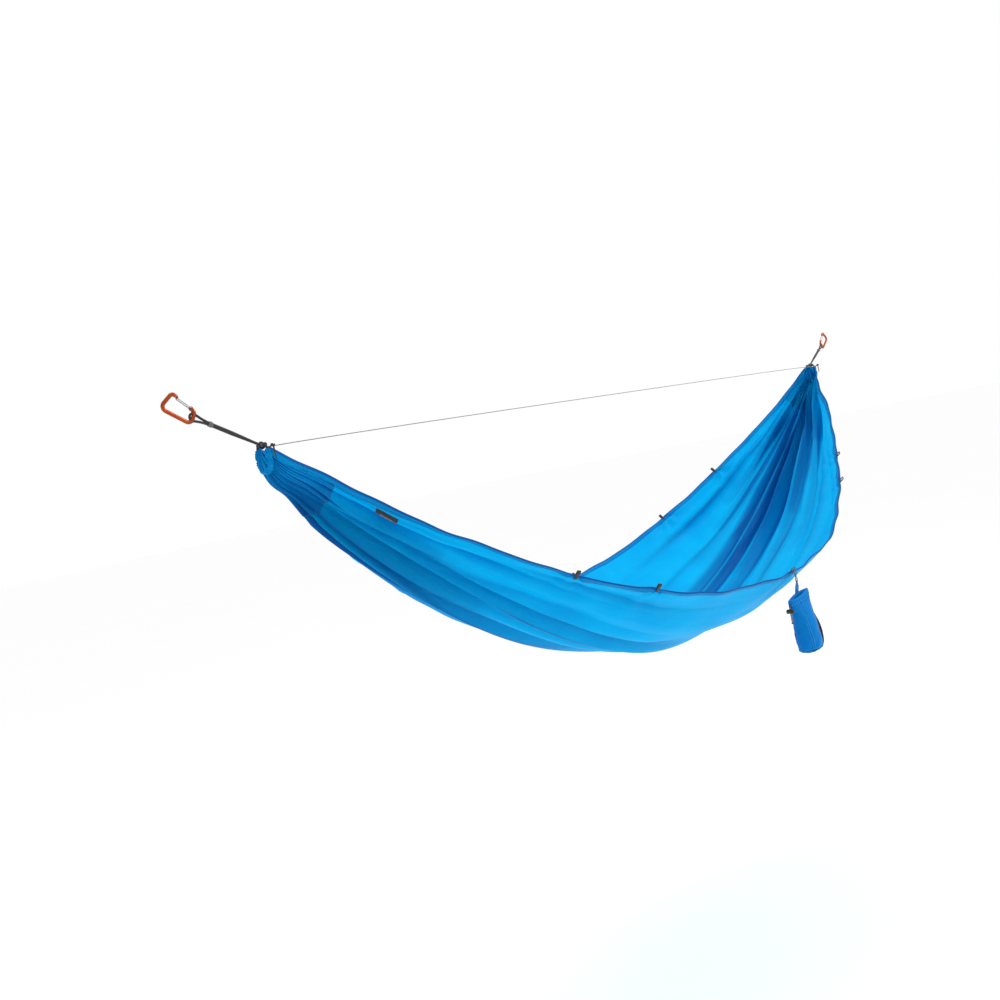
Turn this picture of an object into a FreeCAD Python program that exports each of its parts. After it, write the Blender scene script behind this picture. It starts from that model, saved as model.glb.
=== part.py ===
import FreeCAD, Part
import Sketcher
import math
import os
from FreeCAD import Matrix, Placement, Rotation, Vector

# Gathered-end camping hammock, hung level between two anchors.
# Millimetres. +X runs from the head anchor to the foot anchor, +Z is up and the near side is -Y.
# The origin is on the inner face of the head carabiner, where the tree strap bears.

DIMENSIONS = [
    # alias, value, what it is
    ("ridge_span", 2700, "distance between the two gathers, set by the ridgeline"),
    ("bed_sag", 785, "depth of the middle of the bed below the gathers"),
    ("bed_half_opening", 36.5, "degrees from the middle line of the bed to an edge"),
    ("bed_lean", 1.9, "degrees that the sack's weight turns the bed about its long axis"),
    ("edge_sag_share", 0.958, "sag of the edges over the sag of the middle line"),
    ("gather_depth", 55, "height of the pleated fabric at a gather"),
    ("gather_half_width", 20, "half width of the pleated fabric at a gather"),
    ("gather_fade", 120, "distance over which the pleats open out"),
    ("sheet_thick", 2.4, "solid thickness that stands for the folded fabric"),
    ("hem_width", 16, "width of the rolled edge hems"),
    ("hem_thick", 3.4, "solid thickness of the rolled hems"),
    ("skin_gap", 0.4, "gap between layers that lie on each other"),
    ("patch_length", 112, "length of the doubled fabric at each end, along X"),
    ("patch_thick", 1.4, "solid thickness of the doubled fabric"),
    ("label_length", 40, "woven label, along the hem"),
    ("label_width", 15, "woven label, across"),
    ("label_thick", 1.1, "woven label"),
    ("cara_tilt", 33, "degrees that the carabiners point below level"),
    ("cara_bar_place", 75, "carabiner bar that the cord's eye sits on, from the wide end"),
    ("cara_stock_half_width", 4.3, "half width of the forged stock, in its plane"),
    ("cara_stock_half_depth", 3.8, "half depth of the forged stock, across its plane"),
    ("cara_spine_radius", 10, "centre line bend where the strap sits"),
    ("gate_wire_radius", 1.1, "steel gate wire"),
    ("gate_half_gap", 3.6, "half distance between the two gate wires"),
    ("gate_hole_radius", 1.25, "hinge hole of the gate wire"),
    ("hinge_tab_half_depth", 2.2, "half depth of the flattened hinge tab"),
    ("cord_tilt", 27.5, "degrees that the suspension cords run below level"),
    ("cord_length", 165, "suspension cord, carabiner bar to gather"),
    ("eye_cord_radius", 2.4, "cord round the carabiner bar"),
    ("eye_radius", 8.2, "centre line of the eye round the bar"),
    ("splice_radius", 4.7, "thick, spliced part of the suspension cord"),
    ("throat_reach", 34, "carabiner bar to the throat of the eye"),
    ("splice_reach", 92, "carabiner bar to the end of the thick part"),
    ("cord_radius", 3.0, "single part of the suspension cord"),
    ("sleeve_radius", 6.0, "stitched sleeve over the throat"),
    ("sleeve_length", 9, "stitched sleeve over the throat"),
    ("gather_cord_radius", 2.6, "cord that runs through an end channel"),
    ("channel_radius", 8, "end channel with its pleats"),
    ("channel_bore", 3.1, "tunnel inside the end channel"),
    ("channel_half_width", 22, "half width of the U that the end channel hangs in"),
    ("channel_drop", 36, "straight part of that U"),
    ("wrap_cord_radius", 1.3, "whipping on the gather cord"),
    ("gather_knot_radius", 5, "stopper knot of the gather cord"),
    ("gather_tail_radius", 1.9, "tail of that knot, where it leaves"),
    ("gather_tail_tip", 1.4, "tail of that knot, at its tip"),
    ("gather_tail_length", 24, "tail of that knot"),
    ("ridge_cord_radius", 1.1, "ridgeline"),
    ("ridge_knot_radius", 3.2, "ridgeline knot"),
    ("ridge_knot_reach", 13.5, "gather to ridgeline knot"),
    ("loop_reach", 15, "edge loop, outward"),
    ("loop_depth", 8, "edge loop, across the ribbon"),
    ("loop_ribbon", 1.2, "edge loop ribbon thickness"),
    ("loop_width", 8, "edge loop ribbon width"),
    ("link_cord_radius", 1.2, "cord link of the sack"),
    ("link_half_width", 8.5, "cord link, half width at the top"),
    ("link_drop", 24, "cord link, height"),
    ("link_ring_radius", 5, "small ring at the foot of the cord link"),
    ("strap_width", 9, "sack strap"),
    ("strap_thick", 1.6, "sack strap"),
    ("strap_drop", 44, "sack strap, ring to the seam inside the mouth"),
    ("mouth_drop", 68, "edge loop to the sack's mouth"),
    ("sack_lean", 6, "degrees that the sack leans while its weight hangs plumb"),
    ("sack_wall", 1.6, "solid thickness that stands for the sack's fabric"),
    ("sack_depth", 162, "mouth to the base seam"),
    ("drawcord_radius", 1.0, "drawcord of the sack"),
    ("drawcord_knot_radius", 3.4, "end knot of the drawcord"),
    ("grab_half_width", 5.0, "half width of the grab loop's webbing"),
    ("grab_half_thick", 0.8, "half thickness of the grab loop's webbing"),
    ("lock_radius", 6.2, "cord lock barrel"),
    ("lock_drop", 21, "drawcord eyelet to the middle of the cord lock"),
    ("button_radius", 4.1, "cord lock button"),
    ("button_clearance", 0.25, "cord lock button in its barrel"),
    ("spring_wire_radius", 0.35, "cord lock spring"),
    ("spring_coil_radius", 2.6, "cord lock spring, centre line"),
]

# Places of the edge loops, from the middle of the hammock towards the foot.
NEAR_LOOP_PLACES = [-765, -540, 45, 765, 900]
FAR_LOOP_PLACES = [-765, -540, 158, 630, 900]
SACK_LOOP_PLACE = 45

# Half width, half depth and depth below the mouth of the sack's cross sections.
SACK_SECTIONS = [(57, 12, 0), (55, 15, 17), (49, 22, 36), (44, 32, 84), (43, 35, 140), (41, 33, 162)]
SACK_BASE_SECTIONS = [(40.5, 32.5, 162.3), (37, 29, 168), (26, 19, 172)]
SACK_CHANNEL_DEPTH = 16

document = FreeCAD.newDocument("hammock")
sheet = document.addObject("Spreadsheet::Sheet", "Dimensions")
for row, (alias, number, note) in enumerate(DIMENSIONS, start=1):
    sheet.set("A%d" % row, alias)
    sheet.set("B%d" % row, str(number))
    sheet.set("C%d" % row, note)
    sheet.setAlias("B%d" % row, alias)
document.recompute()

SUBPARTS = []


def size(alias):
    """Read one driving dimension."""
    return float(sheet.get(alias))


def bind(item, **expressions):
    """Bind properties of a document object to the driving dimensions."""
    for name, expression in expressions.items():
        item.setExpression(name, expression)
    return item


def subpart(item, label):
    """Give a document object the name of the piece that it is."""
    item.Label = label
    SUBPARTS.append(item)
    return item


def feature(label, shape, place=None):
    """Hold a shape that no parametric feature makes."""
    item = document.addObject("Part::Feature", label)
    item.Shape = shape
    if place is not None:
        item.Placement = place
    return item


def boolean(kind, name, items):
    """Fuse, or cut all the later items from the first."""
    if kind == "fuse":
        result = document.addObject("Part::MultiFuse", name)
        result.Shapes = items
        return result
    result = document.addObject("Part::Cut", name)
    result.Base = items[0]
    result.Tool = items[1] if len(items) == 2 else boolean("fuse", name + "_tools", items[1:])
    return result


def cylinder(name, radius, height, centre, direction, along=0.0):
    """A Part::Cylinder whose base centre is moved along its axis."""
    item = document.addObject("Part::Cylinder", name)
    bind(item, Radius=radius, Height=height)
    axis = Vector(direction).normalize()
    item.Placement = Placement(centre + axis * along, Rotation(Vector(0, 0, 1), axis))
    return item


def box(name, low, high, place=Placement()):
    """A Part::Box between two corners."""
    item = document.addObject("Part::Box", name)
    item.Length = high[0] - low[0]
    item.Width = high[1] - low[1]
    item.Height = high[2] - low[2]
    item.Placement = place.multiply(Placement(Vector(*low), Rotation()))
    return item


def torus(name, ring, tube, centre, axis):
    """A Part::Torus about an axis."""
    item = document.addObject("Part::Torus", name)
    bind(item, Radius1=ring, Radius2=tube)
    item.Placement = Placement(centre, Rotation(Vector(0, 0, 1), axis))
    return item


def corner_arc(before, corner, after, radius):
    """The tangent arc that rounds one corner: its first, middle and last point."""
    one = (before - corner).normalize()
    two = (after - corner).normalize()
    half = one.getAngle(two) / 2
    reach = radius / math.tan(half)
    middle = (one + two).normalize()
    centre = corner + middle * (radius / math.sin(half))
    return corner + one * reach, centre - middle * radius, corner + two * reach


def rounded_path(points, radii, closed=False):
    """Straight runs joined by tangent arcs. radii has one value for each rounded point."""
    count = len(points)
    rounded = range(count) if closed else range(1, count - 1)
    arcs = []
    for place, index in enumerate(rounded):
        arcs.append(corner_arc(points[index - 1], points[index], points[(index + 1) % count], radii[place]))
    pieces = []
    last = arcs[-1][2] if closed else points[0]
    for first, middle, end in arcs:
        if (first - last).Length > 1e-6:
            pieces.append(Part.LineSegment(last, first))
        pieces.append(Part.Arc(first, middle, end))
        last = end
    if not closed and (points[-1] - last).Length > 1e-6:
        pieces.append(Part.LineSegment(last, points[-1]))
    return pieces


def path_sketch(name, points, radii, place, closed=False):
    """A sketch of a rounded path, in the plane that place sets."""
    flat = [Vector(x, y, 0) for x, y in points]
    sketch = document.addObject("Sketcher::SketchObject", name)
    for piece in rounded_path(flat, radii, closed):
        sketch.addGeometry(piece, False)
    sketch.Placement = place
    return sketch


def swept_rod(name, points, radii, place, radius, across=None, closed=False):
    """A round or elliptic rod along a rounded path in one plane."""
    sketch = path_sketch(name + "_path", points, radii, place, closed)
    document.recompute()
    edge = sketch.Shape.Edges[0]
    start = edge.valueAt(edge.FirstParameter)
    tangent = edge.tangentAt(edge.FirstParameter)
    normal = place.Rotation.multVec(Vector(0, 0, 1))
    if across is None:
        section = document.addObject("Part::Circle", name + "_section")
        bind(section, Radius=radius)
        turn = Rotation(Vector(0, 0, 1), tangent)
    else:
        section = document.addObject("Part::Ellipse", name + "_section")
        bind(section, MajorRadius=radius, MinorRadius=across)
        turn = Rotation(normal.cross(tangent), normal, tangent, "ZXY")
    section.Placement = Placement(start, turn)
    sweep = document.addObject("Part::Sweep", name)
    sweep.Sections = [section]
    sweep.Spine = (sketch, [])
    sweep.Solid = True
    sweep.Frenet = False
    return sweep


# ---------------------------------------------------------------- places

# The carabiner's own plane: first value along it from the wide end, second value towards the gate.
# A wide basket, a straight spine, and a narrow end that leans back to the hinge.
UPRIGHT = Placement(Vector(0, 0, 0), Rotation(Vector(1, 0, 0), 90))
NOSE_TIP = (28, 38)
HINGE_HOLE = (64.3, 30.2)
GATE_END = (28.5, 35.0)
BAR_PLACE = size("cara_bar_place")
CARABINER_CORNERS = [NOSE_TIP, (16.5, 41), (3.2, 0), (BAR_PLACE, 0), (BAR_PLACE, 26), HINGE_HOLE]
CARABINER_BENDS = [7.5, size("cara_spine_radius"), 11, 8]


def strap_seat():
    """Centre of the bend that the strap sits in, in the carabiner's own plane."""
    low = Vector(*CARABINER_CORNERS[2], 0)
    high = Vector(*CARABINER_CORNERS[1], 0)
    side = (high - low).normalize()
    radius = size("cara_spine_radius")
    reach = radius / math.tan(side.getAngle(Vector(1, 0, 0)) / 2)
    return Vector(low.x + reach, radius, 0)


# The load runs from the strap's seat to the cord's eye, a little off the carabiner's own axis.
load_turn = math.radians(size("cord_tilt") - size("cara_tilt"))
load_direction = Vector(math.cos(load_turn), -math.sin(load_turn), 0)
seat_inner = size("cara_spine_radius") - size("cara_stock_half_width")
seat = strap_seat() - load_direction * seat_inner
bar_reach = (BAR_PLACE - seat.x) / load_direction.x
bar_offset = seat.y + load_direction.y * bar_reach

cord_angle = math.radians(size("cord_tilt"))
cord_direction = Vector(math.cos(cord_angle), 0, -math.sin(cord_angle))
head_bar = cord_direction * bar_reach
head_gather = head_bar + cord_direction * size("cord_length")
span = size("ridge_span")
middle_x = head_gather.x + span / 2
FOOT_TURN = Placement(Vector(2 * middle_x, 0, 0), Rotation(Vector(0, 0, 1), 180))
ENDS = [("head", Placement()), ("foot", FOOT_TURN)]

# ---------------------------------------------------------------- carabiners


def carabiner_place(end_place):
    """From the carabiner's own plane to the part's frame."""
    tilt = Placement(Vector(0, 0, 0), Rotation(Vector(0, 1, 0), size("cara_tilt")))
    to_seat = Placement(Vector(-seat.x, 0, -seat.y), Rotation())
    return end_place.multiply(tilt).multiply(to_seat)


def carabiner_body(end, end_place):
    """Forged hook with a round, notched nose and a flattened, drilled hinge tab."""
    name = end + "_hook"
    hook = swept_rod(name, CARABINER_CORNERS, CARABINER_BENDS, UPRIGHT,
                     "Dimensions.cara_stock_half_width", "Dimensions.cara_stock_half_depth")
    nose = document.addObject("Part::Sphere", name + "_nose")
    bind(nose, Radius="Dimensions.cara_stock_half_depth")
    nose.Placement = Placement(Vector(NOSE_TIP[0], 0, NOSE_TIP[1]), Rotation())
    hinge_low = Vector(HINGE_HOLE[0], -10, HINGE_HOLE[1])
    knuckle = cylinder(name + "_knuckle", "Dimensions.cara_stock_half_width", "20", hinge_low, (0, 1, 0))
    blank = boolean("fuse", name + "_blank", [hook, nose, knuckle])
    notch = box(name + "_notch", (22.5, -6, 29), (36, 6, 36.4))
    tab = size("hinge_tab_half_depth")
    left = box(name + "_left_flat", (54, tab, 24), (69.5, 12, 38))
    right = box(name + "_right_flat", (54, -12, 24), (69.5, -tab, 38))
    hole = cylinder(name + "_hole", "Dimensions.gate_hole_radius", "20", hinge_low, (0, 1, 0))
    body = boolean("cut", name + "_cut", [blank, notch, left, right, hole])
    body.Placement = carabiner_place(end_place)
    subpart(body, end + "_carabiner_body")


def gate_wire(end, end_place):
    """Bent steel wire: two pins in the hinge tab, two legs and a round end under the nose."""
    name = end + "_gate"
    run = Vector(GATE_END[0] - HINGE_HOLE[0], GATE_END[1] - HINGE_HOLE[1], 0)
    half = size("gate_half_gap")
    pin = 0.5
    length = run.Length
    points = [(0, pin), (0, half), (length, half), (length, -half), (0, -half), (0, -pin)]
    bends = [1.6, half - 0.01, half - 0.01, 1.6]
    turn = math.degrees(math.atan2(run.y, run.x))
    flat = Placement(Vector(HINGE_HOLE[0], 0, HINGE_HOLE[1]), Rotation(Vector(0, 1, 0), -turn))
    wire = swept_rod(name, points, bends, flat, "Dimensions.gate_wire_radius")
    wire.Placement = carabiner_place(end_place)
    subpart(wire, end + "_gate_wire")


# ---------------------------------------------------------------- suspension and gathers


def suspension_cord(end, end_place):
    """Eye round the carabiner bar, thick splice, taper, and a tight eye round the gather cord."""
    name = end + "_suspension"
    along = Placement(head_bar, Rotation(Vector(0, 1, 0), size("cord_tilt")))
    throat = size("throat_reach")
    ring = size("eye_radius")
    half_turn = math.asin(ring / throat)
    touch = Vector(ring * math.sin(half_turn), ring * math.cos(half_turn), 0)
    legs_end = Vector(throat, 0, 0) + (touch - Vector(throat, 0, 0)) * 0.34
    eye_path = Part.Wire([
        Part.makeLine(legs_end, touch),
        Part.Arc(touch, Vector(-ring, 0, 0), Vector(touch.x, -touch.y, 0)).toShape(),
        Part.makeLine(Vector(touch.x, -touch.y, 0), Vector(legs_end.x, -legs_end.y, 0))])
    section = Part.Wire([Part.makeCircle(size("eye_cord_radius"), legs_end, touch - legs_end)])
    eye = feature(name + "_eye", eye_path.makePipeShell([section], True, True), along)
    axis = along.Rotation.multVec(Vector(1, 0, 0))
    splice = cylinder(name + "_splice", "Dimensions.splice_radius",
                      "Dimensions.splice_reach - Dimensions.throat_reach + 12", head_bar, axis, throat - 12)
    taper = document.addObject("Part::Cone", name + "_taper")
    bind(taper, Radius1="Dimensions.splice_radius", Radius2="Dimensions.cord_radius",
         Height="Dimensions.cord_length - Dimensions.splice_reach - 6")
    taper.Placement = Placement(head_bar + axis * size("splice_reach"), Rotation(Vector(0, 0, 1), axis))
    gather_eye = torus(name + "_gather_eye", "Dimensions.gather_cord_radius + Dimensions.cord_radius + 0.6",
                       "Dimensions.cord_radius", head_gather, Vector(0, 1, 0))
    cord = boolean("fuse", name + "_fused", [eye, splice, taper, gather_eye])
    cord.Placement = end_place
    subpart(cord, end + "_suspension_cord")


def suspension_sleeve(end, end_place):
    """Stitched sleeve over the throat of the eye."""
    name = end + "_sleeve"
    axis = cord_direction
    start = size("throat_reach") + 1
    outer = cylinder(name + "_outer", "Dimensions.sleeve_radius", "Dimensions.sleeve_length",
                     head_bar, axis, start)
    bore = cylinder(name + "_bore", "Dimensions.splice_radius + 0.1", "Dimensions.sleeve_length + 2",
                    head_bar, axis, start - 1)
    sleeve = boolean("cut", name + "_cut", [outer, bore])
    sleeve.Placement = end_place
    subpart(sleeve, end + "_suspension_sleeve")


def gather_plane():
    """The plane across the hammock at the gather: first value along Y, second value up."""
    return Placement(head_gather, Rotation(Vector(0, 1, 0), Vector(0, 0, 1), Vector(1, 0, 0), "ZXY"))


# The U's top ends, below the gather, and the places of the whipping's turns along the bar.
CHANNEL_TOP = -9
WRAP_START = 7.8
WRAP_PITCH = 2.75
WRAP_TURNS = 3
GATHER_KNOT_REACH = 36


def gather_cord(end, end_place):
    """Closed loop of cord: a bar that the suspension holds, and a U through the end channel."""
    half = size("channel_half_width")
    low = -size("channel_drop") - half
    points = [(0, 0), (half, 0), (half, low), (-half, low), (-half, 0)]
    flat = [Vector(x, y, 0) for x, y in points]
    bends = [8, half - 0.01, half - 0.01, 8]
    arcs = [corner_arc(flat[i], flat[i + 1], flat[(i + 2) % 5], bends[i]) for i in range(4)]
    pieces = []
    last = flat[0]
    for first, middle, after in arcs:
        pieces.append(Part.makeLine(last, first))
        pieces.append(Part.Arc(first, middle, after).toShape())
        last = after
    pieces.append(Part.makeLine(last, flat[0]))
    section = Part.Wire([Part.makeCircle(size("gather_cord_radius"), flat[0], Vector(1, 0, 0))])
    loop = Part.Wire(pieces).makePipeShell([section], True, False)
    subpart(feature(end + "_gather_loop", loop, end_place.multiply(gather_plane())), end + "_gather_cord")


def end_channel(end, end_place):
    """The fabric's end, sewn into a tunnel and pushed together on the gather cord."""
    name = end + "_channel"
    half = size("channel_half_width")
    low = -size("channel_drop") - half
    points = [(half, CHANNEL_TOP), (half, low), (-half, low), (-half, CHANNEL_TOP)]
    bends = [half - 0.01, half - 0.01]
    outer = swept_rod(name + "_outer", points, bends, gather_plane(), "Dimensions.channel_radius")
    past = CHANNEL_TOP + 1
    long_points = [(half, past), (half, low), (-half, low), (-half, past)]
    bore = swept_rod(name + "_bore", long_points, bends, gather_plane(), "Dimensions.channel_bore")
    channel = boolean("cut", name + "_cut", [outer, bore])
    channel.Placement = end_place
    subpart(channel, end + "_end_channel")


def gather_wraps(end, end_place):
    """Whipping on the gather cord's bar, on both sides of the suspension eye."""
    rings = []
    for side in (-1, 1):
        for turn in range(WRAP_TURNS):
            centre = head_gather + Vector(0, side * (WRAP_START + WRAP_PITCH * turn), 0)
            rings.append(torus("%s_wrap_%d_%d" % (end, side + 1, turn),
                               "Dimensions.gather_cord_radius + Dimensions.wrap_cord_radius + 0.15",
                               "Dimensions.wrap_cord_radius", centre, Vector(0, 1, 0)))
    wraps = boolean("fuse", end + "_wraps_fused", rings)
    wraps.Placement = end_place
    subpart(wraps, end + "_gather_wraps")


def gather_knot(end, end_place):
    """Stopper knot of the gather cord with its short tail."""
    side = -1 if end == "head" else 1
    centre = head_gather + Vector(4, side * GATHER_KNOT_REACH, -5)
    knot = document.addObject("Part::Sphere", end + "_knot_ball")
    bind(knot, Radius="Dimensions.gather_knot_radius")
    knot.Placement = Placement(centre, Rotation())
    tail = document.addObject("Part::Cone", end + "_knot_tail")
    bind(tail, Radius1="Dimensions.gather_tail_radius", Radius2="Dimensions.gather_tail_tip",
         Height="Dimensions.gather_tail_length")
    tail.Placement = Placement(centre, Rotation(Vector(1, 0, 0), 180))
    fused = boolean("fuse", end + "_knot_fused", [knot, tail])
    fused.Placement = end_place
    subpart(fused, end + "_gather_knot")


# ---------------------------------------------------------------- ridgeline

RIDGE_DIP = 5.0
RIDGE_LIFT_PLACE = 70.0
HITCH_TURN_PLACE = 4.9


def ridge_route():
    """Route of the ridgeline: tight, with its last few centimetres drawn down to the knots."""
    start = size("ridge_knot_reach") + size("ridge_knot_radius") + 0.2
    return [head_gather + Vector(start, 0, -RIDGE_DIP),
            head_gather + Vector(RIDGE_LIFT_PLACE, 0, 0),
            head_gather + Vector(span - RIDGE_LIFT_PLACE, 0, 0),
            head_gather + Vector(span - start, 0, -RIDGE_DIP)]


def ridgeline():
    """Thin cord from gather to gather."""
    route = ridge_route()
    run = (route[1] - route[0]).Length
    turn = (route[1] - route[0]).getAngle(route[2] - route[1])
    radius = 0.45 * run / math.tan(turn / 2)
    path = Part.Wire([piece.toShape() for piece in rounded_path(route, [radius, radius])])
    section = Part.Wire([Part.makeCircle(size("ridge_cord_radius"), route[0], route[1] - route[0])])
    tube = path.makePipeShell([section], True, True)
    expected = math.pi * size("ridge_cord_radius") ** 2 * path.Length
    print("ridgeline length %.0f, bend radius %.0f, volume share %.4f"
          % (path.Length, radius, tube.Volume / expected))
    subpart(feature("ridgeline_cord", tube), "ridgeline")


def ridgeline_knot(end, end_place):
    """Knot with two legs that each go once round the gather cord's bar."""
    name = end + "_ridge_hitch"
    centre = Vector(size("ridge_knot_reach"), 0, -RIDGE_DIP)
    ball = document.addObject("Part::Sphere", name + "_ball")
    bind(ball, Radius="Dimensions.ridge_knot_radius")
    ball.Placement = Placement(head_gather + centre, Rotation())
    pieces = [ball]
    ring = size("gather_cord_radius") + size("ridge_cord_radius") + 0.2
    for side in (-1, 1):
        bar = Vector(0, side * HITCH_TURN_PLACE, 0)
        pieces.append(torus("%s_turn_%d" % (name, side + 1),
                            "Dimensions.gather_cord_radius + Dimensions.ridge_cord_radius + 0.2",
                            "Dimensions.ridge_cord_radius", head_gather + bar, Vector(0, 1, 0)))
        low = bar + Vector(0, 0, -ring)
        high = centre + Vector(0, side * 2.9, 0)
        leg = cylinder("%s_leg_%d" % (name, side + 1), "Dimensions.ridge_cord_radius",
                       "%f" % (high - low).Length, head_gather + low, high - low)
        pieces.append(leg)
    hitch = boolean("fuse", name + "_fused", pieces)
    hitch.Placement = end_place
    subpart(hitch, end + "_ridgeline_knot")


# ---------------------------------------------------------------- the bed


def catenary_scale():
    """Scale of the catenary that sags bed_sag over the ridge span, found by halving."""
    low, high = span / 10, span * 10
    for _ in range(60):
        scale = (low + high) / 2
        sag = scale * (math.cosh(span / 2 / scale) - 1)
        if sag > size("bed_sag"):
            low = scale
        else:
            high = scale
    return scale


CATENARY = catenary_scale()
HALF_OPENING = math.radians(size("bed_half_opening"))
LEAN = math.radians(size("bed_lean"))


def bed_point(along, across):
    """A point of the fabric. along is the distance from the head gather, across is -1 at the near edge."""
    x = along - span / 2
    fall = CATENARY * (math.cosh(span / 2 / CATENARY) - math.cosh(x / CATENARY))
    fall *= 1 + (size("edge_sag_share") - 1) * across ** 2
    angle = LEAN + across * HALF_OPENING
    pleats = math.exp(-min(along, span - along) / size("gather_fade"))
    quarter = across * math.pi / 2
    y = fall * math.sin(angle) + pleats * size("gather_half_width") * math.sin(quarter)
    z = -fall * math.cos(angle) - pleats * size("gather_depth") * math.cos(quarter)
    return head_gather + Vector(along, y, z)


def bed_outward(along, across):
    """Unit vector out of the bed, away from the person lying in it."""
    step = 0.5
    inside = 1 if along < span / 2 else -1
    lengthwise = (bed_point(along + inside * step, across) - bed_point(along, across)) * inside
    crosswise = bed_point(along, across + 0.005) - bed_point(along, across - 0.005)
    return crosswise.cross(lengthwise).normalize()


def half_width(along):
    """Length across the fabric from its middle line to an edge."""
    steps = 12
    points = [bed_point(along, index / steps) for index in range(steps + 1)]
    return sum((points[index + 1] - points[index]).Length for index in range(steps))


def spread(low, high, count):
    """Evenly spaced values, both ends included."""
    return [low + (high - low) * index / (count - 1) for index in range(count)]


def eased(low, high, count):
    """Values that lie closer together towards both ends."""
    return [low + (high - low) * (1 - math.cos(math.pi * index / (count - 1))) / 2 for index in range(count)]


def fabric_solid(alongs, across_at, inner, outer):
    """Closed solid between two offsets of the bed. across_at(along) lists the places across."""
    layers = []
    for offset in (inner, outer):
        grid = []
        for along in alongs:
            grid.append([bed_point(along, across) + bed_outward(along, across) * offset
                         for across in across_at(along)])
        surface = Part.BSplineSurface()
        surface.interpolate(grid)
        layers.append(surface)
    low, high = layers
    faces = [low.toShape(), high.toShape()]
    u_first, u_last, v_first, v_last = low.bounds()
    for value in (u_first, u_last):
        faces.append(Part.makeRuledSurface(low.uIso(value).toShape(), high.uIso(value).toShape()))
    for value in (v_first, v_last):
        faces.append(Part.makeRuledSurface(low.vIso(value).toShape(), high.vIso(value).toShape()))
    shell = Part.Shell(faces)
    shell.sewShape()
    solid = Part.Solid(shell)
    if solid.Volume < 0:
        solid.reverse()
    return solid


def hem_share(along):
    """Width of the hem as a share of the half width."""
    return min(0.45, size("hem_width") / half_width(along))


# Where the fabric starts, and the gap between panel and hem as a share of the half width.
BED_START = 12.0
SEAM_GAP = 0.0015


def bed_panel():
    """The one-piece fabric bed, between its two edge hems."""

    def across_at(along):
        reach = 1 - hem_share(along) - SEAM_GAP
        return spread(-reach, reach, 17)

    solid = fabric_solid(eased(BED_START, span - BED_START, 41), across_at, 0.0, size("sheet_thick"))
    subpart(feature("bed_panel_solid", solid), "bed_panel")


def edge_hem(side, sign):
    """Rolled hem along one edge."""

    def across_at(along):
        return spread(sign * (1 - hem_share(along)), sign, 4)

    proud = (size("hem_thick") - size("sheet_thick")) / 2
    alongs = eased(BED_START, span - BED_START, 41)
    solid = fabric_solid(alongs, across_at, -proud, size("sheet_thick") + proud)
    subpart(feature(side + "_hem_solid", solid), side + "_edge_hem")


def end_patch(end):
    """Second layer of fabric sewn over each end of the bed."""
    first, last = BED_START + 4, size("patch_length")
    alongs = spread(first, last, 9)
    if end == "foot":
        alongs = [span - along for along in reversed(alongs)]

    def across_at(along):
        reach = 1 - hem_share(along) - 0.03
        return spread(-reach, reach, 17)

    inner = size("sheet_thick") + size("skin_gap")
    solid = fabric_solid(alongs, across_at, inner, inner + size("patch_thick"))
    subpart(feature(end + "_patch_solid", solid), end + "_end_reinforcement")


LABEL_PLACE = 206.0


def brand_free_label():
    """Plain woven label under the near hem."""

    def across_at(along):
        width = half_width(along)
        top = hem_share(along) + 5 / width
        return spread(-(1 - top - size("label_width") / width), -(1 - top), 4)

    inner = size("sheet_thick") + size("skin_gap")
    half = size("label_length") / 2
    solid = fabric_solid(spread(LABEL_PLACE - half, LABEL_PLACE + half, 5), across_at,
                         inner, inner + size("label_thick"))
    subpart(feature("label_solid", solid), "woven_label")


def loop_frame(place, side):
    """Middle of the edge at one loop, with the outward direction of the loop."""
    along = span / 2 + place
    edge = bed_point(along, side)
    outward = (edge - bed_point(along, side * 0.99)).normalize()
    normal = bed_outward(along, side)
    return edge + normal * (size("sheet_thick") / 2), outward, normal


def loop_centre(place, side):
    """Middle of the opening of one edge loop."""
    edge, outward, _ = loop_frame(place, side)
    return edge + outward * (size("skin_gap") + size("loop_reach") / 2)


def edge_loop_shape(place, side):
    """One folded ribbon loop that stands out from the hem."""
    edge, outward, normal = loop_frame(place, side)
    lengthwise = outward.cross(normal).normalize()
    reach, depth, ribbon = size("loop_reach"), size("loop_depth"), size("loop_ribbon")

    def stadium(inset):
        low, high, half = inset, reach - inset, depth / 2 - inset
        corners = [Vector(low, half, 0), Vector(high, half, 0), Vector(high, -half, 0), Vector(low, -half, 0)]
        bends = [min(2.0, half * 0.6), half * 0.95, half * 0.95, min(2.0, half * 0.6)]
        edges = [piece.toShape() for piece in rounded_path(corners, bends, True)]
        return Part.Face(Part.Wire(Part.__sortEdges__(edges)))

    ring = stadium(0).cut(stadium(ribbon)).extrude(Vector(0, 0, size("loop_width")))
    ring.translate(Vector(size("skin_gap"), 0, -size("loop_width") / 2))
    turn = Matrix(outward.x, normal.x, lengthwise.x, edge.x,
                  outward.y, normal.y, lengthwise.y, edge.y,
                  outward.z, normal.z, lengthwise.z, edge.z,
                  0, 0, 0, 1)
    return ring.transformGeometry(turn)


def edge_loops(name, places, side):
    """All the ribbon loops of one edge."""
    shapes = [edge_loop_shape(place, side) for place in places]
    subpart(feature(name + "_solids", Part.makeCompound(shapes)), name)


# ---------------------------------------------------------------- stuff sack

sack_pivot = loop_centre(SACK_LOOP_PLACE, -1)
link_ring_centre = sack_pivot - Vector(0, 0, size("link_drop") + size("link_ring_radius") - 2.4)
sack_mouth = sack_pivot - Vector(0, 0, size("mouth_drop"))
SACK_PLACE = Placement(sack_mouth, Rotation())
SACK_BALANCE_DEPTH = 84.0
STRAP_SET_BACK = 9.0


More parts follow.
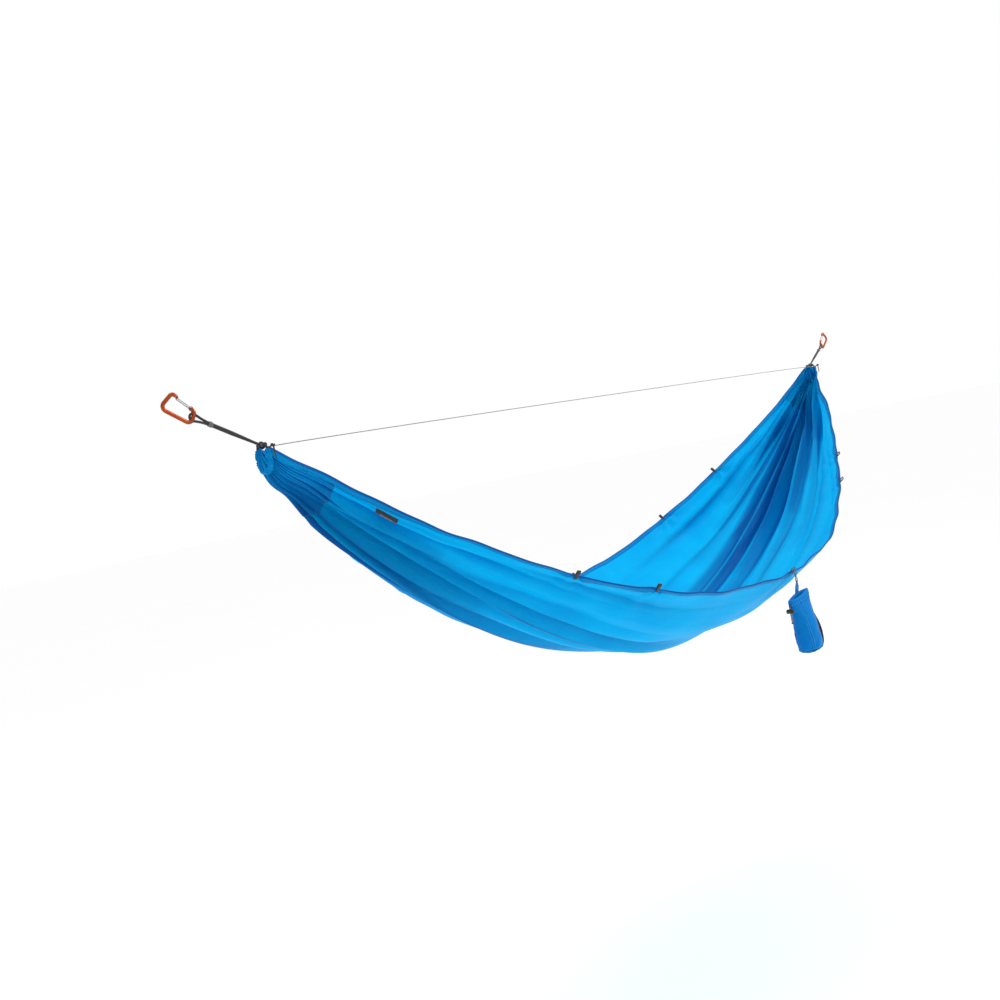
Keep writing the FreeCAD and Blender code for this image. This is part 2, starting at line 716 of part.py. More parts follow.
def sack_frame():
    """The sack's own frame: its mouth, leaning about the middle of its weight."""
    low = Vector(0, 0, -SACK_BALANCE_DEPTH)
    lean = Rotation(Vector(0, 1, 0), -size("sack_lean"))
    return SACK_PLACE.multiply(Placement(low, lean)).multiply(Placement(low * -1, Rotation()))


# Where the drawcord leaves the channel, and its hanging route from there: sideways, then up.
CHANNEL_CORD_DEPTH = 8.0
eyelet = sack_frame().multVec(Vector(-58.5, 0, -CHANNEL_CORD_DEPTH))
DRAWCORD_STEPS = [(0, 0), (-4, -4.5), (-5.5, -11), (-5.7, -52)]
DRAWCORD_HALF_GAP = 1.25


SQUARE = ((-1, -1), (1, -1), (1, 1), (-1, 1))


def sack_link():
    """Triangle of thin cord through the edge loop, with a small ring at its foot."""
    half = size("link_half_width")
    drop = size("link_drop")
    points = [Vector(0, 0, 0), Vector(half, 0, 0), Vector(0, -drop, 0), Vector(-half, 0, 0)]
    bends = [2.0, 1.6, 2.0]
    arcs = [corner_arc(points[i], points[i + 1], points[(i + 2) % 4], bends[i]) for i in range(3)]
    pieces = []
    last = points[0]
    for first, middle, after in arcs:
        pieces.append(Part.makeLine(last, first))
        pieces.append(Part.Arc(first, middle, after).toShape())
        last = after
    pieces.append(Part.makeLine(last, points[0]))
    section = Part.Wire([Part.makeCircle(size("link_cord_radius"), points[0], Vector(1, 0, 0))])
    loop = Part.Wire(pieces).makePipeShell([section], True, False)
    cord = feature("sack_link_loop", loop, Placement(sack_pivot, UPRIGHT.Rotation))
    ring = torus("sack_link_ring", "Dimensions.link_ring_radius", "Dimensions.link_cord_radius",
                 link_ring_centre, Vector(0, 1, 0))
    subpart(boolean("fuse", "sack_link_fused", [cord, ring]), "sack_link_cord")


def sack_strap():
    """Flat strap from the small ring to the back of the sack's mouth."""
    low_ring = link_ring_centre - Vector(0, 0, size("link_ring_radius"))
    bight = 1.7
    wall = 1.2
    faces = []
    for half in (bight + wall, bight):
        corners = [low_ring + Vector(-2, y * half, 0.2 + z * half) for y, z in SQUARE]
        faces.append(Part.Face(Part.makePolygon(corners + corners[:1])))
    eye = faces[0].cut(faces[1]).extrude(Vector(4, 0, 0))
    top = low_ring - Vector(0, 0, bight + wall / 2)
    slant = Vector(0, STRAP_SET_BACK, -size("strap_drop")).normalize()
    across = Vector(1, 0, 0)
    half = size("strap_width") / 2
    outline = [top - across * 2, top + across * 2, top + slant * 8 + across * half,
               top + slant * size("strap_drop") + across * half,
               top + slant * size("strap_drop") - across * half, top + slant * 8 - across * half]
    normal = across.cross(slant).normalize()
    ribbon = Part.Face(Part.makePolygon(outline + outline[:1])).extrude(normal * size("strap_thick"))
    ribbon.translate(normal * (-size("strap_thick") / 2))
    subpart(feature("sack_strap_solid", eye.fuse(ribbon).removeSplitter()), "sack_hanging_strap")


def sack_loft(name, sections, grow, place):
    """Loft through ellipses, each grown by the same amount."""
    ellipses = []
    for index, (half_x, half_y, depth) in enumerate(sections):
        ellipse = document.addObject("Part::Ellipse", "%s_section_%d" % (name, index))
        ellipse.MajorRadius = half_x + grow
        ellipse.MinorRadius = half_y + grow
        ellipse.Placement = Placement(Vector(0, 0, -depth), Rotation())
        ellipses.append(ellipse)
    loft = document.addObject("Part::Loft", name)
    loft.Sections = ellipses
    loft.Solid = True
    loft.Ruled = False
    loft.Placement = place
    return loft


def cut_sections(low, high):
    """Cross sections of the sack between two depths, worked out between the stated ones."""

    def at(depth):
        for (a, b, first), (c, d, last) in zip(SACK_SECTIONS, SACK_SECTIONS[1:]):
            if first <= depth <= last:
                share = (depth - first) / (last - first)
                return (a + (c - a) * share, b + (d - b) * share, depth)
        raise ValueError(depth)

    inside = [section for section in SACK_SECTIONS if low < section[2] < high]
    return [at(low)] + inside + [at(high)]


def sack_body():
    """Open-topped fabric tube of the sack, below its mouth channel."""
    wall = size("sack_wall")
    sections = cut_sections(SACK_CHANNEL_DEPTH + 0.3, size("sack_depth"))
    outer = sack_loft("sack_outer", sections, 0.0, Placement())
    first = sections[0][:2] + (sections[0][2] - 1,)
    last = sections[-1][:2] + (sections[-1][2] + 1,)
    longer = [first] + sections[1:-1] + [last]
    inner = sack_loft("sack_inner", longer, -wall, Placement())
    body = boolean("cut", "sack_body_cut", [outer, inner])
    body.Placement = sack_frame()
    subpart(body, "stuff_sack_body")


def sack_base():
    """Oval base panel, sagging a little."""
    subpart(sack_loft("sack_base_loft", SACK_BASE_SECTIONS, 0.0, sack_frame()), "stuff_sack_base")


def ellipse_rod(name, half_x, half_y, depth, radius):
    """Closed rod along a level ellipse."""
    ellipse = Part.Ellipse(Vector(0, 0, -depth), half_x, half_y)
    path = Part.Wire([ellipse.toShape()])
    section = Part.Wire([Part.makeCircle(radius, Vector(half_x, 0, -depth), Vector(0, 1, 0))])
    return feature(name, path.makePipeShell([section], True, False))


CHANNEL_WALL = 4.0


def sack_channel():
    """Sewn channel round the mouth, with the drawcord's tunnel inside."""
    sections = cut_sections(0, SACK_CHANNEL_DEPTH)
    outer = sack_loft("channel_outer", sections, 0.6, Placement())
    longer = [sections[0][:2] + (-1,), sections[1][:2] + (SACK_CHANNEL_DEPTH + 1,)]
    inner = sack_loft("channel_inner", longer, 0.6 - CHANNEL_WALL, Placement())
    half_x, half_y, _ = cut_sections(CHANNEL_CORD_DEPTH, SACK_CHANNEL_DEPTH)[0]
    middle = 0.6 - CHANNEL_WALL / 2
    room = size("drawcord_radius") + 0.4
    level = cut_sections(CHANNEL_CORD_DEPTH - room - 0.4, CHANNEL_CORD_DEPTH + room + 0.4)
    tunnel = boolean("cut", "channel_tunnel",
                     [sack_loft("tunnel_outer", level, middle + room, Placement()),
                      sack_loft("tunnel_inner", longer, middle - room, Placement())])
    eyelet = box("channel_eyelet", (-half_x - 3, -2.6, -CHANNEL_CORD_DEPTH - 1.6),
                 (-half_x + 1.2, 2.6, -CHANNEL_CORD_DEPTH + 1.6))
    ring = boolean("cut", "channel_cut", [outer, inner, tunnel, eyelet])
    ring.Placement = sack_frame()
    subpart(ring, "sack_mouth_channel")
    cord = ellipse_rod("channel_cord", half_x + middle, half_y + middle, CHANNEL_CORD_DEPTH,
                       size("drawcord_radius"))
    cord.Placement = sack_frame()
    subpart(cord, "drawcord_in_channel")


def drawcord_route(side):
    """Route of one hanging strand: out of the eyelet at the mouth's corner, then plumb down."""
    return [eyelet + Vector(x, side * DRAWCORD_HALF_GAP, z) for x, z in DRAWCORD_STEPS]


def drawcord_strands():
    """The two hanging strands of the drawcord."""
    shapes = []
    for side in (-1, 1):
        route = drawcord_route(side)
        radii = []
        for before, corner, after in zip(route, route[1:], route[2:]):
            run = min((corner - before).Length, (after - corner).Length)
            radii.append(0.45 * run / math.tan((corner - before).getAngle(after - corner) / 2))
        path = Part.Wire([piece.toShape() for piece in rounded_path(route, radii)])
        section = Part.Wire([Part.makeCircle(size("drawcord_radius"), route[0], route[1] - route[0])])
        tube = path.makePipeShell([section], True, True)
        expected = math.pi * size("drawcord_radius") ** 2 * path.Length
        print("drawcord strand length %.1f, bend radii %s, volume share %.4f"
              % (path.Length, ["%.1f" % radius for radius in radii], tube.Volume / expected))
        shapes.append(tube)
    subpart(feature("drawcord_tubes", Part.makeCompound(shapes)), "drawcord")


def drawcord_knot():
    """End knot of the two strands."""
    knot = document.addObject("Part::Sphere", "drawcord_ball")
    bind(knot, Radius="Dimensions.drawcord_knot_radius")
    x, z = DRAWCORD_STEPS[-1]
    knot.Placement = Placement(eyelet + Vector(x, 0, z - 3.45), Rotation())
    subpart(knot, "drawcord_knot")


# Route of the grab loop in the sack's frame: out from the sack, and its height below the mouth.
GRAB_ROUTE = [(45.6, -84), (52, -104), (53.5, -140), (47, -166), (30, -176.5)]
GRAB_BENDS = [30, 30, 22]


def grab_loop():
    """Webbing handle from the sack's side to its base."""
    flat = [Vector(x, 0, z) for x, z in GRAB_ROUTE]
    path = Part.Wire([piece.toShape() for piece in rounded_path(flat, GRAB_BENDS)])
    tangent = (flat[1] - flat[0]).normalize()
    side = Vector(0, 1, 0)
    other = tangent.cross(side).normalize()
    half_wide, half_thick = size("grab_half_width"), size("grab_half_thick")
    corners = [flat[0] + side * (half_wide * a) + other * (half_thick * b) for a, b in SQUARE]
    section = Part.makePolygon(corners + corners[:1])
    strap = path.makePipeShell([section], True, True)
    subpart(feature("grab_webbing", strap, sack_frame()), "sack_grab_loop")


# ---------------------------------------------------------------- cord lock

lock_centre = eyelet + Vector(DRAWCORD_STEPS[-1][0], 0, -size("lock_drop"))
LOCK_FRONT = -7.0
LOCK_BACK = 9.5
BUTTON_FRONT = -12.0
BUTTON_BACK = 4.0
BUTTON_TRAVEL = 3.0
BORE_BACK = 8.0
SPRING_FRONT = 4.5
SPRING_BACK = 7.5
SPRING_TURNS = 3
SLOT_HALF_X = 1.5
SLOT_HALF_Y = 2.75


def origin_plane(body, role):
    """One of a body's own origin planes."""
    return [item for item in body.Origin.OriginFeatures if item.Role == role][0]


def padded_disc(name, radius, front, back):
    """PartDesign body: a round pad along Y between two places, with its sketch bound to the sheet."""
    body = document.addObject("PartDesign::Body", name)
    sketch = body.newObject("Sketcher::SketchObject", name + "_circle")
    sketch.AttachmentSupport = [(origin_plane(body, "XZ_Plane"), "")]
    sketch.MapMode = "FlatFace"
    sketch.addGeometry(Part.Circle(Vector(0, 0, 0), Vector(0, 0, 1), 5.0), False)
    sketch.addConstraint(Sketcher.Constraint("Coincident", 0, 3, -1, 1))
    sketch.addConstraint(Sketcher.Constraint("Radius", 0, 5.0))
    sketch.setExpression("Constraints[1]", radius)
    pad = body.newObject("PartDesign::Pad", name + "_pad")
    pad.Profile = sketch
    pad.Length = back - front
    body.Tip = pad
    document.recompute()
    low = body.Shape.BoundBox.YMin
    body.Placement = Placement(Vector(0, front - low, 0), Rotation())
    return body


def cord_lock_barrel():
    """Barrel with a blind bore for the button and a slot for the drawcord."""
    barrel = padded_disc("lock_barrel", "Dimensions.lock_radius", LOCK_FRONT, LOCK_BACK)
    bore = cylinder("lock_bore", "Dimensions.button_radius + Dimensions.button_clearance",
                    "%f" % (BORE_BACK - LOCK_FRONT + 1), Vector(0, LOCK_FRONT - 1, 0), (0, 1, 0))
    slot = box("lock_slot", (-SLOT_HALF_X, -SLOT_HALF_Y, -9), (SLOT_HALF_X, SLOT_HALF_Y, 9))
    body = boolean("cut", "lock_cut", [barrel, bore, slot])
    body.Placement = Placement(lock_centre, Rotation())
    subpart(body, "cord_lock_barrel")


def cord_lock_button():
    """Button with a slot long enough for the drawcord over its whole travel."""
    button = padded_disc("lock_button", "Dimensions.button_radius", BUTTON_FRONT, BUTTON_BACK)
    slot = box("button_slot", (-SLOT_HALF_X, -SLOT_HALF_Y - BUTTON_TRAVEL, -9), (SLOT_HALF_X, SLOT_HALF_Y, 9))
    body = boolean("cut", "button_cut", [button, slot])
    body.Placement = Placement(lock_centre, Rotation())
    subpart(body, "cord_lock_button")


def cord_lock_spring():
    """Coil spring behind the button."""
    coil = size("spring_coil_radius")
    length = SPRING_BACK - SPRING_FRONT
    helix = Part.makeHelix(length / SPRING_TURNS, length, coil)
    section = Part.Wire([Part.makeCircle(size("spring_wire_radius"), Vector(coil, 0, 0), Vector(0, 1, 0))])
    spring = Part.Wire(helix.Edges).makePipeShell([section], True, True)
    along_y = Rotation(Vector(0, 0, 1), Vector(0, 1, 0))
    place = Placement(lock_centre + Vector(0, SPRING_FRONT, 0), along_y)
    subpart(feature("lock_spring_coil", spring, place), "cord_lock_spring")


# ---------------------------------------------------------------- build and write

for end_name, end_turn in ENDS:
    carabiner_body(end_name, end_turn)
    gate_wire(end_name, end_turn)
    suspension_cord(end_name, end_turn)
    suspension_sleeve(end_name, end_turn)
    gather_cord(end_name, end_turn)
    end_channel(end_name, end_turn)
    gather_wraps(end_name, end_turn)
    gather_knot(end_name, end_turn)
    ridgeline_knot(end_name, end_turn)
    end_patch(end_name)
ridgeline()
bed_panel()
edge_hem("near", -1)
edge_hem("far", 1)
brand_free_label()
edge_loops("near_edge_loops", NEAR_LOOP_PLACES, -1)
edge_loops("far_edge_loops", FAR_LOOP_PLACES, 1)
sack_link()
sack_strap()
sack_body()
sack_base()
sack_channel()
drawcord_strands()
drawcord_knot()
grab_loop()
cord_lock_barrel()
cord_lock_button()
cord_lock_spring()

document.recompute()
for item in document.Objects:
    if "Invalid" in item.State or "Error" in item.State:
        raise RuntimeError("%s did not build: %s" % (item.Label, item.State))
for item in SUBPARTS:
    if item.Shape.isNull() or not item.Shape.isValid():
        raise RuntimeError("%s has no valid shape" % item.Label)

os.makedirs("parts", exist_ok=True)
for item in SUBPARTS:
    item.Shape.exportStep("parts/%s.step" % item.Label)
    print("%-26s %10.0f mm3  %s" % (item.Label, item.Shape.Volume, item.Shape.BoundBox))
print("head bar %s, head gather %s, middle x %.2f" % (head_bar, head_gather, middle_x))
print("sack pivot %s, ring %s, lock %s" % (sack_pivot, link_ring_centre, lock_centre))
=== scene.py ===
import math
import random

import bpy
import numpy as np
from mathutils import Matrix, Vector


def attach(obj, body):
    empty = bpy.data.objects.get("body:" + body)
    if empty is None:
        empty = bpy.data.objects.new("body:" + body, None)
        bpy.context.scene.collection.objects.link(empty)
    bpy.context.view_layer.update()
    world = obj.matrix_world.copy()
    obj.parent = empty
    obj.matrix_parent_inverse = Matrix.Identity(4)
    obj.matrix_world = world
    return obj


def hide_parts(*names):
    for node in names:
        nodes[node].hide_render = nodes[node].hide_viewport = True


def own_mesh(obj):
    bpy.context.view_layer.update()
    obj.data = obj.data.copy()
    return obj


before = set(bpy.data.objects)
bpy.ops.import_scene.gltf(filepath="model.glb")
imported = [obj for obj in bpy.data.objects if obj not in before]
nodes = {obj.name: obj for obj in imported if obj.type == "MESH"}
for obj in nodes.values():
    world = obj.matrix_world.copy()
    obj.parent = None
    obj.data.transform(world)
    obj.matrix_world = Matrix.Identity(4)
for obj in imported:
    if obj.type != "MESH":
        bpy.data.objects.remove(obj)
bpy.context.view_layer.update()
scene = bpy.context.scene
scene.view_settings.view_transform = "Standard"

# Metres. +X runs from the head anchor to the foot anchor, +Z is up and the near side is -Y.
# The bed's smooth shape has the same driving sizes as the CAD model.
SPAN = 2.7
SAG = 0.785
HALF_OPENING = math.radians(36.5)
LEAN = math.radians(1.9)
EDGE_SAG_SHARE = 0.958
GATHER_DEPTH = 0.055
GATHER_HALF_WIDTH = 0.017
GATHER_FADE = 0.120
HEM_WIDTH = 0.016
CORD_TILT = math.radians(27.5)
HEAD_BAR = Vector((0.056779, 0.0, -0.029557))
HEAD_GATHER = Vector((0.203136, 0.0, -0.105746))
FOOT_X = 3.106280
BED_MARGIN = 0.004
BED_ROWS = 430
BED_COLUMNS = 300
HEM_ROWS = 620
DOUBLED_LENGTH = 0.112
GATHER_LOOP_HALF = 0.0185
GATHER_LOOP_DROP = 0.038
BRAID_DEPTH = 0.16

DRAWS = random.Random(11)


# ---------------------------------------------------------------- mesh helpers


def at_end(end, point):
    """A point of the head end, or the same point turned round to the foot end."""
    if end == "head":
        return Vector(point)
    return Vector((FOOT_X - point[0], -point[1], point[2]))


def unit(vectors):
    """The same directions, each of length 1."""
    return vectors / np.linalg.norm(vectors, axis=-1)[..., None]


def bell(x, width):
    """Bell-shaped curve: 1 at zero, 0.37 at its width."""
    return np.exp(-(x / width) ** 2)


def arc_lengths(line):
    """Distance along a line at each of its points."""
    runs = np.linalg.norm(np.diff(line, axis=0), axis=1)
    return np.concatenate([[0.0], np.cumsum(runs)])


def mesh_piece(name, points, faces, material, uvs=None, smooth=True, fold_shade=None):
    """New mesh object. uvs has one pair for each point, and the optional per-point amount of painted fold
    shade is stored as a point attribute.
    """
    mesh = bpy.data.meshes.new(name)
    mesh.from_pydata(np.asarray(points, dtype=float).reshape(-1, 3).tolist(), [], faces)
    if fold_shade is not None:
        shade_layers = mesh.attributes.new("fold_shade", "FLOAT", "POINT")
        shade_layers.data.foreach_set("value", np.asarray(fold_shade, dtype=np.float32).ravel())
    if uvs is not None:
        corners = np.empty(len(mesh.loops), dtype=np.int32)
        mesh.loops.foreach_get("vertex_index", corners)
        places = np.asarray(uvs, dtype=np.float32).reshape(-1, 2)
        mesh.uv_layers.new(name="flat").data.foreach_set("uv", places[corners].ravel())
    mesh.polygons.foreach_set("use_smooth", [smooth] * len(mesh.polygons))
    mesh.materials.append(material)
    return place_object(name, mesh)


def place_object(name, data):
    """New object in the scene."""
    item = bpy.data.objects.new(name, data)
    scene.collection.objects.link(item)
    return item


def grid_faces(rows, columns, wrap_rows=False, wrap_columns=False, start=0):
    """Quads of a grid of points, row after row."""
    faces = []
    for row in range(rows if wrap_rows else rows - 1):
        here, after = start + row * columns, start + (row + 1) % rows * columns
        for column in range(columns if wrap_columns else columns - 1):
            beside = (column + 1) % columns
            faces.append((here + column, here + beside, after + beside, after + column))
    return faces


def tube_faces(rows, columns, closed=False):
    """Faces of a tube of rings. Both its ends are filled, unless it is closed into a loop."""
    faces = grid_faces(rows, columns, wrap_rows=closed, wrap_columns=True)
    if not closed:
        faces += [tuple(range(columns))[::-1], tuple(range((rows - 1) * columns, rows * columns))]
    return faces


def spline_line(points, cyclic=False):
    """Points along the smooth NURBS line that has these control points."""
    curve = new_curve("route", points, cyclic)
    holder = place_object("route", curve)
    bpy.context.view_layer.update()
    mesh = bpy.data.meshes.new_from_object(holder)
    line = np.array([vertex.co for vertex in mesh.vertices])
    bpy.data.objects.remove(holder)
    bpy.data.curves.remove(curve)
    bpy.data.meshes.remove(mesh)
    return line


def new_curve(name, points, cyclic=False):
    """Curve of one NURBS spline that has these control points."""
    curve = bpy.data.curves.new(name, "CURVE")
    curve.dimensions = "3D"
    spline = curve.splines.new("NURBS")
    spline.points.add(len(points) - 1)
    for place, point in zip(spline.points, points):
        place.co = (*point, 1.0)
    spline.use_cyclic_u = cyclic
    spline.order_u = 3
    spline.use_endpoint_u = not cyclic
    spline.resolution_u = 24
    return curve


def spaced(line, step, closed=False):
    """The same line, with its points evenly spaced."""
    if closed:
        line = np.vstack([line, line[:1]])
    arc = arc_lengths(line)
    places = np.linspace(0.0, arc[-1], max(3, int(round(arc[-1] / step)) + 1))
    points = np.stack([np.interp(places, arc, line[:, axis]) for axis in range(3)], axis=1)
    return points[:-1] if closed else points


def end_line(end, points, step, closed=False):
    """Evenly spaced smooth line through the places of the head end, or of the foot end."""
    return spaced(spline_line([at_end(end, point) for point in points], closed), step, closed)


def circle(centre, radius, angles, y=0.0):
    """Points round a centre in the plane that runs upright along the bed, moved across by y."""
    return [centre + Vector((radius * math.cos(angle), y, radius * math.sin(angle))) for angle in angles]


def line_frames(line, closed=False):
    """Two directions across a line at each point, turned as little as possible along it."""
    ahead = np.roll(line, -1, axis=0) - np.roll(line, 1, axis=0)
    if not closed:
        ahead[0] = line[1] - line[0]
        ahead[-1] = line[-1] - line[-2]
    ahead = unit(ahead)
    guide = np.array([0.0, 1.0, 0.0]) if abs(ahead[0][1]) < 0.8 else np.array([0.0, 0.0, 1.0])
    first = np.empty_like(line)
    for index, direction in enumerate(ahead):
        guide = unit(guide - direction * guide.dot(direction))
        first[index] = guide
    return first, np.cross(ahead, first)


def tube_piece(name, line, radius, material, sides=24, relief=None, closed=False):
    """Tube along a line. radius is a number, or one for each share of the length. relief(turn, arc) is
    added to the radius as a share of it."""
    first, second = line_frames(line, closed)
    turns = np.linspace(0.0, 2 * math.pi, sides, endpoint=False)
    arc = arc_lengths(line)
    points, uvs = [], []
    for index, centre in enumerate(line):
        size = radius(arc[index] / arc[-1]) if callable(radius) else radius
        rings = np.full(sides, size)
        if relief is not None:
            rings = rings * (1 + relief(turns, arc[index]))
        points.extend(centre + first[index] * (rings * np.cos(turns))[:, None]
                      + second[index] * (rings * np.sin(turns))[:, None])
        uvs.extend((turn * size, arc[index]) for turn in turns)
    return mesh_piece(name, points, tube_faces(len(line), sides, closed), material, uvs)


def braid(strands, pitch, depth=BRAID_DEPTH):
    """Relief of a braid: two families of strands that cross over each other."""

    def relief(turns, arc):
        along = 2 * math.pi * arc / pitch
        one, two = (np.abs(np.cos(strands / 2 * turns + way * along)) for way in (1, -1))
        return depth * (np.maximum(one, two) - 0.85)

    return relief


def winding(pitch, depth):
    """Relief of thread wound side by side round a tube."""

    def relief(turns, arc):
        return depth * (np.abs(np.cos(math.pi * arc / pitch + turns / 2)) - 0.6)

    return relief


def knot_piece(name, centre, size, turn, radius, material, sides):
    """A closed overhand knot of round cord about a point."""
    turned = Matrix.Rotation(turn, 3, "Y")
    points = []
    for t in np.linspace(0.0, 2 * math.pi, 90, endpoint=False):
        x, y = math.sin(t) + 2 * math.sin(2 * t), math.cos(t) - 2 * math.cos(2 * t)
        points.append(Vector(centre) + turned @ Vector((x, y, -math.sin(3 * t) * 1.1)) * (size / 3))
    return tube_piece(name, np.array(points), radius, material, sides, closed=True)


def join_pieces(name, pieces):
    """Join mesh pieces of one material into the first."""
    for other in bpy.context.selected_objects:
        other.select_set(False)
    for piece in pieces:
        piece.select_set(True)
    bpy.context.view_layer.objects.active = pieces[0]
    bpy.ops.object.join()
    pieces[0].name = name
    pieces[0].data.name = name
    return pieces[0]


# ---------------------------------------------------------------- materials


def new_material(name, colour, roughness, metallic=0.0):
    """Principled material and its parts."""
    material = bpy.data.materials.new(name)
    material.use_nodes = True
    tree = material.node_tree
    shader = tree.nodes["Principled BSDF"]
    shader.inputs["Base Color"].default_value = (*colour, 1.0)
    shader.inputs["Roughness"].default_value = roughness
    shader.inputs["Metallic"].default_value = metallic
    return material, tree, shader


def feed(tree, socket, value):
    """Give a socket a number or a colour, or link another node's output to it."""
    if isinstance(value, bpy.types.NodeSocket):
        tree.links.new(value, socket)
    else:
        socket.default_value = (*value, 1.0) if socket.type == "RGBA" else value


def add_node(tree, kind, output, **inputs):
    """New node that is fed by numbers and other outputs. Returns one of its outputs."""
    node = tree.nodes.new("ShaderNode" + kind)
    for name, value in inputs.items():
        feed(tree, node.inputs[name.replace("_", " ")], value)
    return node.outputs[output]


def add_math(tree, operation, one, two):
    """Arithmetic on two outputs."""
    node = tree.nodes.new("ShaderNodeMath")
    node.operation = operation
    feed(tree, node.inputs[0], one)
    feed(tree, node.inputs[1], two)
    return node.outputs["Value"]


def noise(tree, vector, scale, detail=2.0, roughness=0.5, distortion=0.0):
    """Noise at a place."""
    return add_node(tree, "TexNoise", "Fac", Vector=vector, Scale=scale, Detail=detail, Roughness=roughness,
                    Distortion=distortion)


def coordinates(tree):
    """The place on the flat fabric, and the place in the object's frame."""
    place = tree.nodes.new("ShaderNodeTexCoord")
    return place.outputs["UV"], place.outputs["Object"]


def mix_colours(tree, factor, one, two):
    """Two colours mixed by a factor."""
    mix = tree.nodes.new("ShaderNodeMix")
    mix.data_type = "RGBA"
    for index, value in ((0, factor), (6, one), (7, two)):
        feed(tree, mix.inputs[index], value)
    return mix.outputs[2]


def ramp(tree, factor, low, high):
    """Factor that goes from 0 at low to 1 at high."""
    return add_node(tree, "MapRange", "Result", Value=factor, From_Min=low, From_Max=high)


def add_bump(tree, shader, height, strength, distance, before=None):
    """Bump on a shader from a height, on top of another bump."""
    inputs = {"Normal": before} if before is not None else {}
    bump = add_node(tree, "Bump", "Normal", Strength=strength, Distance=distance, Height=height, **inputs)
    tree.links.new(bump, shader.inputs["Normal"])
    return bump


# A wave texture at scale 1 has this many waves in a metre.
WAVES_PER_METRE = 3.2


def thread_lines(tree, flat, pitch, turn):
    """Wave of parallel threads, in the direction that turn gives."""
    turned = add_node(tree, "Mapping", "Vector", Vector=flat, Rotation=(0.0, 0.0, turn))
    return add_node(tree, "TexWave", "Fac", Vector=turned, Scale=1 / pitch / WAVES_PER_METRE, Distortion=0.0)


RIPSTOP_PITCH = 0.0052
WEAVE_PITCH = 0.0007
# Painted shade where fabric is marked as lying over itself: this share of its shade's red, green and blue is
# left.
FOLD_SHADE_SHARE = (0.0, 0.27, 0.46)


def nylon(name, colour, shade, see_through):
    """Thin calendered ripstop: fine weave, a raised grid of thicker threads, crumple and soft gloss, with
    painted shade darkening its folds.
    """
    material, tree, shader = new_material(name, colour, 0.42)
    shader.inputs["Specular IOR Level"].default_value = 0.05
    flat, place = coordinates(tree)
    ways = (0.0, math.pi / 2)
    grid = add_math(tree, "MAXIMUM", *(ramp(tree, thread_lines(tree, flat, RIPSTOP_PITCH, way), 0.90, 1.0)
                                       for way in ways))
    weave = add_math(tree, "ADD", *(thread_lines(tree, flat, WEAVE_PITCH, way) for way in ways))
    blotch = ramp(tree, noise(tree, place, 7.0, 4.0, 0.55), 0.35, 0.7)
    # Painted shade: the per-point fold attribute mixes the colour towards a deep, darker shade and lowers
    # the see-through light.
    shade_layers = tree.nodes.new("ShaderNodeAttribute")
    shade_layers.attribute_name = "fold_shade"
    fold_shaded = ramp(tree, shade_layers.outputs["Fac"], 0.0, 1.4)
    deep = tuple(value * share for value, share in zip(shade, FOLD_SHADE_SHARE))
    lined = mix_colours(tree, ramp(tree, grid, 0.0, 6.0), mix_colours(tree, blotch, colour, shade), shade)
    lined = mix_colours(tree, fold_shaded, lined, deep)
    tree.links.new(lined, shader.inputs["Base Color"])
    drawn = add_node(tree, "Mapping", "Vector", Vector=flat, Scale=(15.0, 2.6, 1.0))
    bump = add_bump(tree, shader, noise(tree, place, 26.0, 5.0, 0.6, 0.8), 0.50, 0.004)
    bump = add_bump(tree, shader, noise(tree, drawn, 1.0, 4.0, 0.6, 0.6), 0.45, 0.010, bump)
    bump = add_bump(tree, shader, grid, 0.5, 0.00012, bump)
    add_bump(tree, shader, weave, 0.35, 0.00005, bump)
    glow = add_node(tree, "BsdfTranslucent", "BSDF", Color=lined, Normal=bump)
    thin = add_node(tree, "MapRange", "Result", Value=fold_shaded, To_Min=see_through, To_Max=see_through * 0.35)
    blend = tree.nodes.new("ShaderNodeMixShader")
    for socket, value in zip(blend.inputs, (thin, shader.outputs["BSDF"], glow)):
        tree.links.new(value, socket)
    tree.links.new(blend.outputs["Shader"], tree.nodes["Material Output"].inputs["Surface"])
    return material


def fibre(name, colour, crest_highlight, pitch):
    """Braided or woven fibre with fine threads, and a painted highlight on the raised strand crests, broken
    up by fine noise.
    """
    material, tree, shader = new_material(name, colour, 0.75)
    shader.inputs["Sheen Weight"].default_value = 0.3
    flat, place = coordinates(tree)
    strands = [thread_lines(tree, flat, pitch, math.radians(way)) for way in (38, -38)]
    cross = add_math(tree, "MULTIPLY", *strands)
    fuzz = noise(tree, place, 420.0, 3.0)
    # Painted highlight: the lighter colour lies on the raised crests of the strands, where the bump is
    # highest, thinned out at random by fine noise.
    light = add_math(tree, "MULTIPLY", cross, ramp(tree, fuzz, 0.4, 0.75))
    tree.links.new(mix_colours(tree, light, colour, crest_highlight), shader.inputs["Base Color"])
    bump = add_bump(tree, shader, cross, 0.6, pitch * 0.25)
    add_bump(tree, shader, fuzz, 0.3, 0.0002, bump)
    return material


